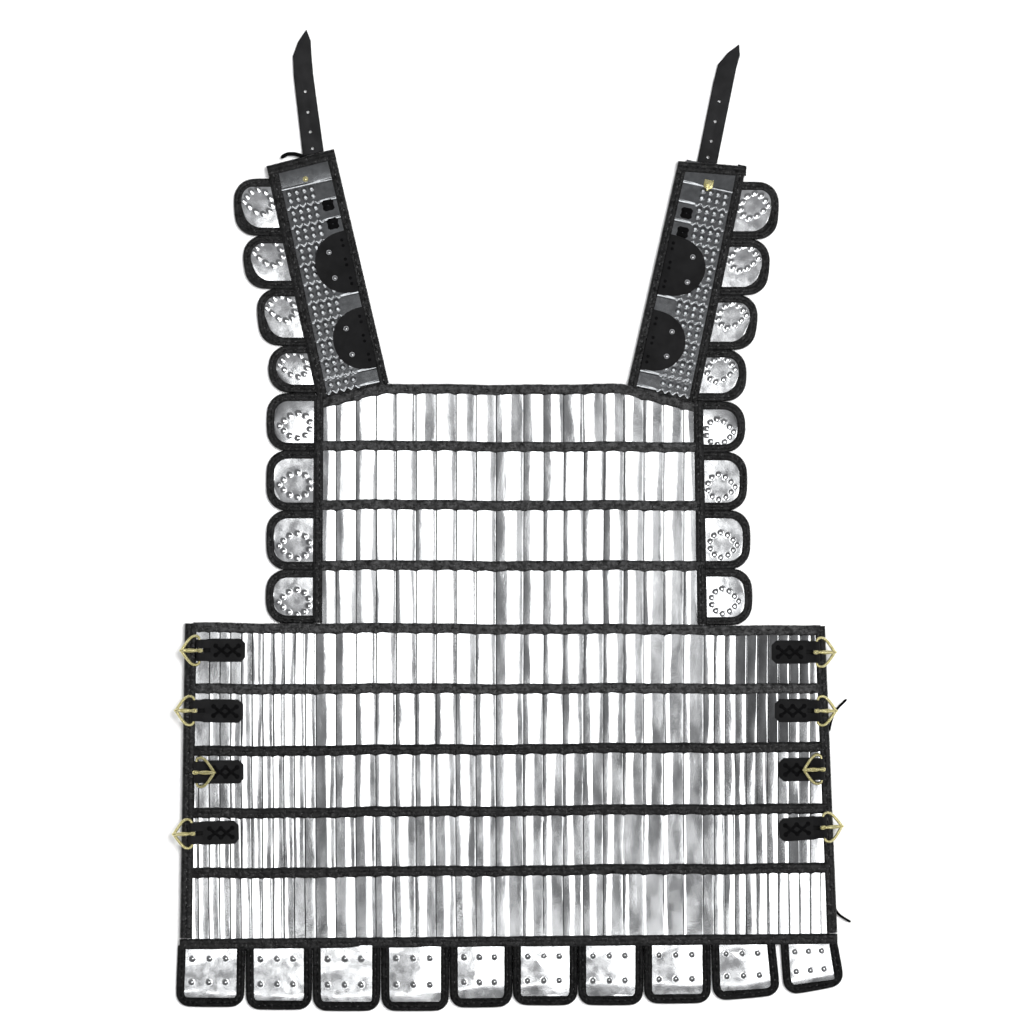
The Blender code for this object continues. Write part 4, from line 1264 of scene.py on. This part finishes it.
def make_strap(strap, chance):
    word = strap.word
    sewn = make_strap_leather(strap)
    plates = [
        make_strap_plate(strap, upper, lower, number > 0, chance)
        for number, (upper, lower) in enumerate(strap.plates())
    ]
    steel = edited(joined(f"{word}_strap_steel", plates), OUTWARDS)
    # The strap plates take the darkened steel, which paints shade on them.
    finished(steel, "dark", [f"{word}_strap_plates"], smooth=55)
    rivets, laces = [], []
    for patch in PATCHES[word]:
        heads, holes = make_patch(strap, *patch)
        rivets += heads
        laces += holes
    for inset, down in LACINGS[word]:
        laces += make_lacing(strap, inset, down)
    gathered(f"{word}_strap_stitches", sewn, "thread")
    gathered(f"{word}_strap_rivets", rivets, "beaten")
    gathered(f"{word}_strap_laces", laces, "lace")
    tail = softened_copy(f"{word}_strap_tail", 0.4, f"{word}_strap_end")
    declared(finished(tail, "strap_end", [f"{word}_strap_tail"]))


class ARMOUR_OT_straps(bpy.types.Operator):
    """Makes the shoulder straps: leather, lapped studded plates, patches, rivets, lacings and pointed ends"""

    bl_idname = "armour.straps"
    bl_label = "Shoulder Straps"

    def execute(self, context):
        chance = random.Random(5)
        for word in SIDES:
            make_strap(Strap(word), chance)
        finished(dome("left_brass_rivet", RIVET_AT, 2.6, 1.4, 18), "brass", smooth=60)
        across = Strap("right").across
        outline = [flat(HOOK_AT) + across * x + UP.cross(across) * y for x, y in HOOK]
        finished(panel("right_brass_hook", outline, 3.2, 4.4, 0.3), "brass", smooth=30)
        return {"FINISHED"}


# --- Buckles ---
# One half of a frame, from the end of the bar to the nose: out from the bar, along it, and the wire's radius.
FRAME_HALF = (
    (0, 8, 1.1), (0, 10.8, 1.15), (1.2, 12.4, 1.2), (3.6, 13.2, 1.25), (6.4, 12.5, 1.3),
    (9.4, 9.8, 1.35), (12.2, 6, 1.4), (14.6, 2.4, 1.5), (15.9, 0, 1.6),
)
# The arm of a tongue: out from the bar, up, and its half width.
TONGUE_ARM = (
    (-3.4, 1.2, 0.9), (-2.9, 2.4, 1.5), (-1.6, 2.7, 2), (-0.2, 2.5, 1.9), (0.8, 2.2, 1.1), (2.6, 2, 1.3),
    (5.4, 2, 1.75), (8.6, 2.1, 1.95), (11, 2.1, 1.7), (13.4, 2.2, 1.45), (15.4, 2.4, 1.35), (17, 2, 1.15),
    (17.9, 1.2, 0.8),
)
EYE = (1.85, 0.45, 1.5, 20)  # a tongue's eye: its radius, half thickness, half width, and steps round it
TAB_HOLES = (5.8, 10.3, 4.15)  # in from a tab's end, between pairs, and from the middle line
JOINTS = {joint["name"]: joint for joint in frame["joints"]}
BUCKLES = [f"{word}_buckle_{i}" for word in SIDES for i in (1, 2, 3, 4)]


def bar_of(name):
    """A buckle's bar: its middle, its direction, and the way out from it to the frame's nose."""
    joint = JOINTS[f"{name}_frame_hinge"]
    middle, axis = Vector(joint["pos_m"]) / MM, Vector(joint["axis"]).normalized()
    away = [(p - middle) - axis * (p - middle).dot(axis) for p in vertices(f"{name}_frame")]
    far = max(a.length for a in away)
    return middle, axis, sum((a for a in away if a.length > far - 1.5), Vector()).normalized()


def frame_rings(middle, out, axis):
    """The frame's closed wire."""
    ring = [Vector(stop) for stop in FRAME_HALF]
    ring += [Vector((x, -y, r)) for x, y, r in FRAME_HALF[-2::-1]]
    smooth = []
    for one, other in zip(ring, ring[1:] + ring[:1]):
        for part, radius in ((0.25, one.z), (0.75, other.z)):
            smooth.append(Vector((*between(one, other, part).xy, radius)))
    smooth = [between(a, b, 0.5) for a, b in zip(smooth, smooth[1:] + smooth[:1])]
    normal = out.cross(axis).normalized()
    rings = []
    for i, (x, y, radius) in enumerate(smooth):
        ahead = (smooth[(i + 1) % len(smooth)] - smooth[i - 1]).xy.normalized()
        side = out * -ahead.y + axis * ahead.x
        rings.append(oval(middle + out * x + axis * y, side * radius, normal * radius, 10))
    return rings + rings[:1]


def make_buckle(name):
    middle, axis, out = bar_of(name)
    frame_wire = tube(f"{name}_wire", frame_rings(middle, out, axis))
    finished(frame_wire, "brass", [f"{name}_frame"], f"{name}_frame", smooth=60)
    up = out.cross(axis).normalized()
    if up.z < 0:
        up = -up
    arm = [
        oval(middle + out * far + up * high, axis * half, up * min(half, 1.15), 10)
        for far, high, half in TONGUE_ARM
    ]
    radius, thick, wide, steps = EYE
    eye = []
    for turn in turns(steps) + [0.0]:
        away = out * math.cos(turn) + up * math.sin(turn)
        eye.append(oval(middle + away * radius, axis * wide, away * thick, 8))
    pin = joined(f"{name}_pin", [tube("arm", arm), tube("eye", eye)])
    body = f"{name}_tongue" if f"{name}_tongue_hinge" in JOINTS else f"{name}_frame"
    finished(pin, "brass", [f"{name}_tongue"], body, smooth=60)


def make_tab(name, ties, grounds):
    """A strap end doubled round the bar, laced through six holes."""
    node = f"{name}_tab"
    obj = finished(softened_copy(node, 0.6, f"{name}_leather"), "strap", [node])
    middle, axis, _ = bar_of(name)
    top = max(p.z for p in vertices(node) if abs(p.x - middle.x) > 12)
    along = flat((-axis.y, axis.x))
    if along.x * middle.x > 0:
        along = -along
    long = max((p - middle).dot(along) for p in vertices(node))
    declared(obj)

    def spot(far, aside, high=0.0):
        return flat(middle) + along * far + axis * aside + UP * high

    ground = [spot(*at) for at in ((3.1, -3), (18, -3), (18, 3), (3.1, 3))]
    grounds.append(panel("under_slot", ground, 3.6, 4.1, 0.1))
    in_from_end, apart, aside = TAB_HOLES
    pairs = [long - in_from_end - apart * i for i in (2, 1, 0)]
    holes = [spot(far, aside * side, top - 0.35) for far in pairs for side in (-1, 1)]
    ties += [dome("hole", at, 2.5, 0.8, 10) for at in holes]
    for near, far in zip(pairs, pairs[1:]):
        for side in (-1, 1):
            a, b = spot(near, aside * side, top - 0.1), spot(far, -aside * side, top - 0.1)
            mid = flat((a + b) / 2) + UP * (top + (0.75 if side > 0 else 0.35))
            points = [a, a.lerp(mid, 0.6) + UP * 0.1, b.lerp(mid, 0.6) + UP * 0.1, b]
            ties.append(thong("tie", points, 2.5, 0.8)[0])


class ARMOUR_OT_buckles(bpy.types.Operator):
    """Makes the eight buckles and the laced strap ends that hold them"""

    bl_idname = "armour.buckles"
    bl_label = "Buckles"

    def execute(self, context):
        ties, grounds = [], []
        for name in BUCKLES:
            make_buckle(name)
            make_tab(name, ties, grounds)
        finished(joined("tab_slots", grounds), "strap")
        gathered("tab_laces", ties, "lace")
        return {"FINISHED"}


# --- Loose ends of lace ---
# Their thickness, and the points they run through, from inside the leather that holds them out to the free end.
LOOSE_LACES = {
    "left_shoulder_lace": (3.4, (
        (-177.5, 321, 2.6), (-182.5, 325.2, 2.4), (-188.5, 328.1, 2), (-194.8, 329.6, 1.75), (-201, 329.3, 1.75),
        (-206, 325.8, 1.75),
    )),
    "right_side_lace": (2.2, (
        (287, -190, 2.4), (288.5, -182, 2.4), (291.2, -174, 2), (295.6, -168.2, 1.2), (299.2, -164.8, 1.15),
        (302.9, -161.2, 1.15),
    )),
    "right_foot_lace": (2.2, (
        (289.8, -328, 2.4), (290.4, -338, 2.4), (291.4, -348, 2), (295.2, -354.4, 1.3), (300.4, -358.2, 1.15),
        (306.6, -361.6, 1.15),
    )),
}


class ARMOUR_OT_laces(bpy.types.Operator):
    """Makes the loose ends of lace at the sides"""

    bl_idname = "armour.laces"
    bl_label = "Loose Laces"

    def execute(self, context):
        for name, (thick, points) in LOOSE_LACES.items():
            obj, path = thong(name, points, thick, around=12)
            finished(obj, "lace", smooth=60)
        return {"FINISHED"}


# --- The stage ---
# Suns: their power, their width in degrees, and the way to them.
SUNS = {"key": (3.3, 34, (0.72, 0.5, 1.05)), "fill": (1.5, 170, (0.0, 0.0, 1.0))}
# Soft boxes overhead: their middle, their size and their light.
BOXES = {
    "soft_box": (0.0, -0.43, 0.64, 1.60, 3.6), "foot_box": (0.0, -1.28, 1.9, 0.15, 3.6),
    "panel": (0.57, -0.39, 0.5, 0.42, 0.72), "strip": (1.5, -0.45, 0.8, 1.9, 3.0),
}
BOX_HIGH = 4.5
# The room's light, from the floor's level, where it is mirrored least, up to overhead.
ROOM = (
    (0.0, 0.85), (0.1, 0.6), (0.3, 0.42), (0.54, 0.4), (0.6, 0.05), (0.7, 0.05), (0.76, 0.22), (0.86, 0.22),
    (0.9, 0.08), (0.93, 0.1), (0.975, 0.21), (0.992, 0.3),
)
SENSOR = 36.0
CAMERA_AT = (0.0018, 0.0072, 4.0)
SEEN = 0.9216  # metres of the floor across the picture


class ARMOUR_OT_stage(bpy.types.Operator):
    """Sets the camera straight over the armour, with a soft box, a soft key and a pale floor"""

    bl_idname = "armour.stage"
    bl_label = "Stage"

    def execute(self, context):
        scene = context.scene
        scene.view_settings.view_transform = "Standard"

        def hung(name, data):
            obj = bpy.data.objects.new(name, data)
            scene.collection.objects.link(obj)
            return obj

        floor = added("floor", bpy.ops.mesh.primitive_plane_add, size=60)
        paper = Recipe("floor", (0.9, 0.9, 0.9), 0.9, 0.0, 0.0)
        paper.ramp("Base Color", (400, 2), (0.88, 0.88, 0.88), (0.92, 0.92, 0.92))
        floor.data.materials.append(paper.material)

        for name, (energy, wide, way) in SUNS.items():
            sun = bpy.data.lights.new(name, "SUN")
            sun.energy, sun.angle = energy, math.radians(wide)
            lamp = hung(name, sun)
            lamp.rotation_euler = Vector(way).to_track_quat("Z", "Y").to_euler()
            lamp.visible_glossy = False
        for name, (x, y, across, along, light) in BOXES.items():
            box = bpy.data.lights.new(name, "AREA")
            box.shape, box.size, box.size_y = "RECTANGLE", across, along
            box.energy = light * math.pi * across * along
            soft = hung(name, box)
            soft.location = (x, y, BOX_HIGH)
            soft.visible_diffuse = soft.visible_camera = False

        scene.world = bpy.data.worlds.new("room")
        scene.world.use_nodes = True
        tree = scene.world.node_tree
        place = tree.nodes.new("ShaderNodeTexCoord")
        height = tree.nodes.new("ShaderNodeSeparateXYZ")
        ramp = tree.nodes.new("ShaderNodeValToRGB")
        tree.links.new(place.outputs["Generated"], height.inputs[0])
        tree.links.new(height.outputs["Z"], ramp.inputs[0])
        tree.links.new(ramp.outputs[0], tree.nodes["Background"].inputs["Color"])
        while len(ramp.color_ramp.elements) < len(ROOM):
            ramp.color_ramp.elements.new(0.5)
        for stop, (at, tone) in zip(ramp.color_ramp.elements, ROOM):
            stop.position = at
            stop.color = (tone, tone, tone * 1.02, 1)

        lens = bpy.data.cameras.new("camera")
        lens.sensor_width = SENSOR
        lens.lens = SENSOR * CAMERA_AT[2] / SEEN
        scene.camera = hung("camera", lens)
        scene.camera.location = CAMERA_AT
        return {"FINISHED"}


# --- The add-on ---
def size(name, text, value):
    limits = {"min": 0.004, "max": 0.1, "unit": "LENGTH"}
    return bpy.props.FloatProperty(name=name, description=text, default=value, **limits)


def tone(name, text, value):
    return bpy.props.FloatVectorProperty(name=name, description=text, subtype="COLOR", default=value)


class ArmourSizes(bpy.types.PropertyGroup):
    centre_width: size("Centre Lamella", "Width of the lamella in the middle of a row", 0.0257)
    pitch: size("Lamella Pitch", "How much of each lamella shows on the chest and waist", 0.018)
    side_pitch: size("Side Pitch", "How much of each lamella shows round the sides", 0.0096)


class ArmourFinishes(bpy.types.PropertyGroup):
    steel: tone("Steel", "Polished lamellae", (0.62, 0.63, 0.64))
    # A darkened copy of the polished steel: painted shade on the strap plates.
    dark_steel: tone("Dark Steel", "Plates of the straps", (0.3, 0.31, 0.32))
    leather: tone("Leather", "Leather of straps, flaps and scales", (0.0062, 0.0062, 0.0065))
    soft_leather: tone("Soft Leather", "Leather of the upper bands", (0.0105, 0.0105, 0.0108))
    thread: tone("Thread", "Waxed thread of the stitches", (0.006, 0.006, 0.006))
    lace: tone("Lace", "Leather laces", (0.0022, 0.0022, 0.0024))
    brass: tone("Brass", "Buckles and rivets", (0.8, 0.74, 0.42))


class ARMOUR_PT_panel(bpy.types.Panel):
    bl_idname = "ARMOUR_PT_panel"
    bl_label = "Lamellar Armour"
    bl_space_type = "VIEW_3D"
    bl_region_type = "UI"
    bl_category = "Armour"

    def draw(self, context):
        for group in (context.scene.armour_sizes, context.scene.armour_finishes):
            for name in group.__annotations__:
                self.layout.prop(group, name)
        for operator in OPERATORS:
            self.layout.operator(operator.bl_idname)


OPERATORS = (
    ARMOUR_OT_stage, ARMOUR_OT_laces, ARMOUR_OT_lamellae, ARMOUR_OT_bindings, ARMOUR_OT_flaps, ARMOUR_OT_scales,
    ARMOUR_OT_straps, ARMOUR_OT_buckles,
)
CLASSES = (ArmourSizes, ArmourFinishes, *OPERATORS, ARMOUR_PT_panel)


def register():
    for cls in CLASSES:
        bpy.utils.register_class(cls)
    bpy.types.Scene.armour_sizes = bpy.props.PointerProperty(type=ArmourSizes)
    bpy.types.Scene.armour_finishes = bpy.props.PointerProperty(type=ArmourFinishes)


def unregister():
    del bpy.types.Scene.armour_finishes
    del bpy.types.Scene.armour_sizes
    for cls in reversed(CLASSES):
        bpy.utils.unregister_class(cls)


def main():
    register()
    bpy.ops.armour.stage()
    bpy.ops.armour.laces()
    bpy.ops.armour.lamellae()
    bpy.ops.armour.bindings()
    bpy.ops.armour.flaps()
    bpy.ops.armour.scales()
    bpy.ops.armour.straps()
    bpy.ops.armour.buckles()
    clear_templates()


if __name__ == "__main__":
    main()
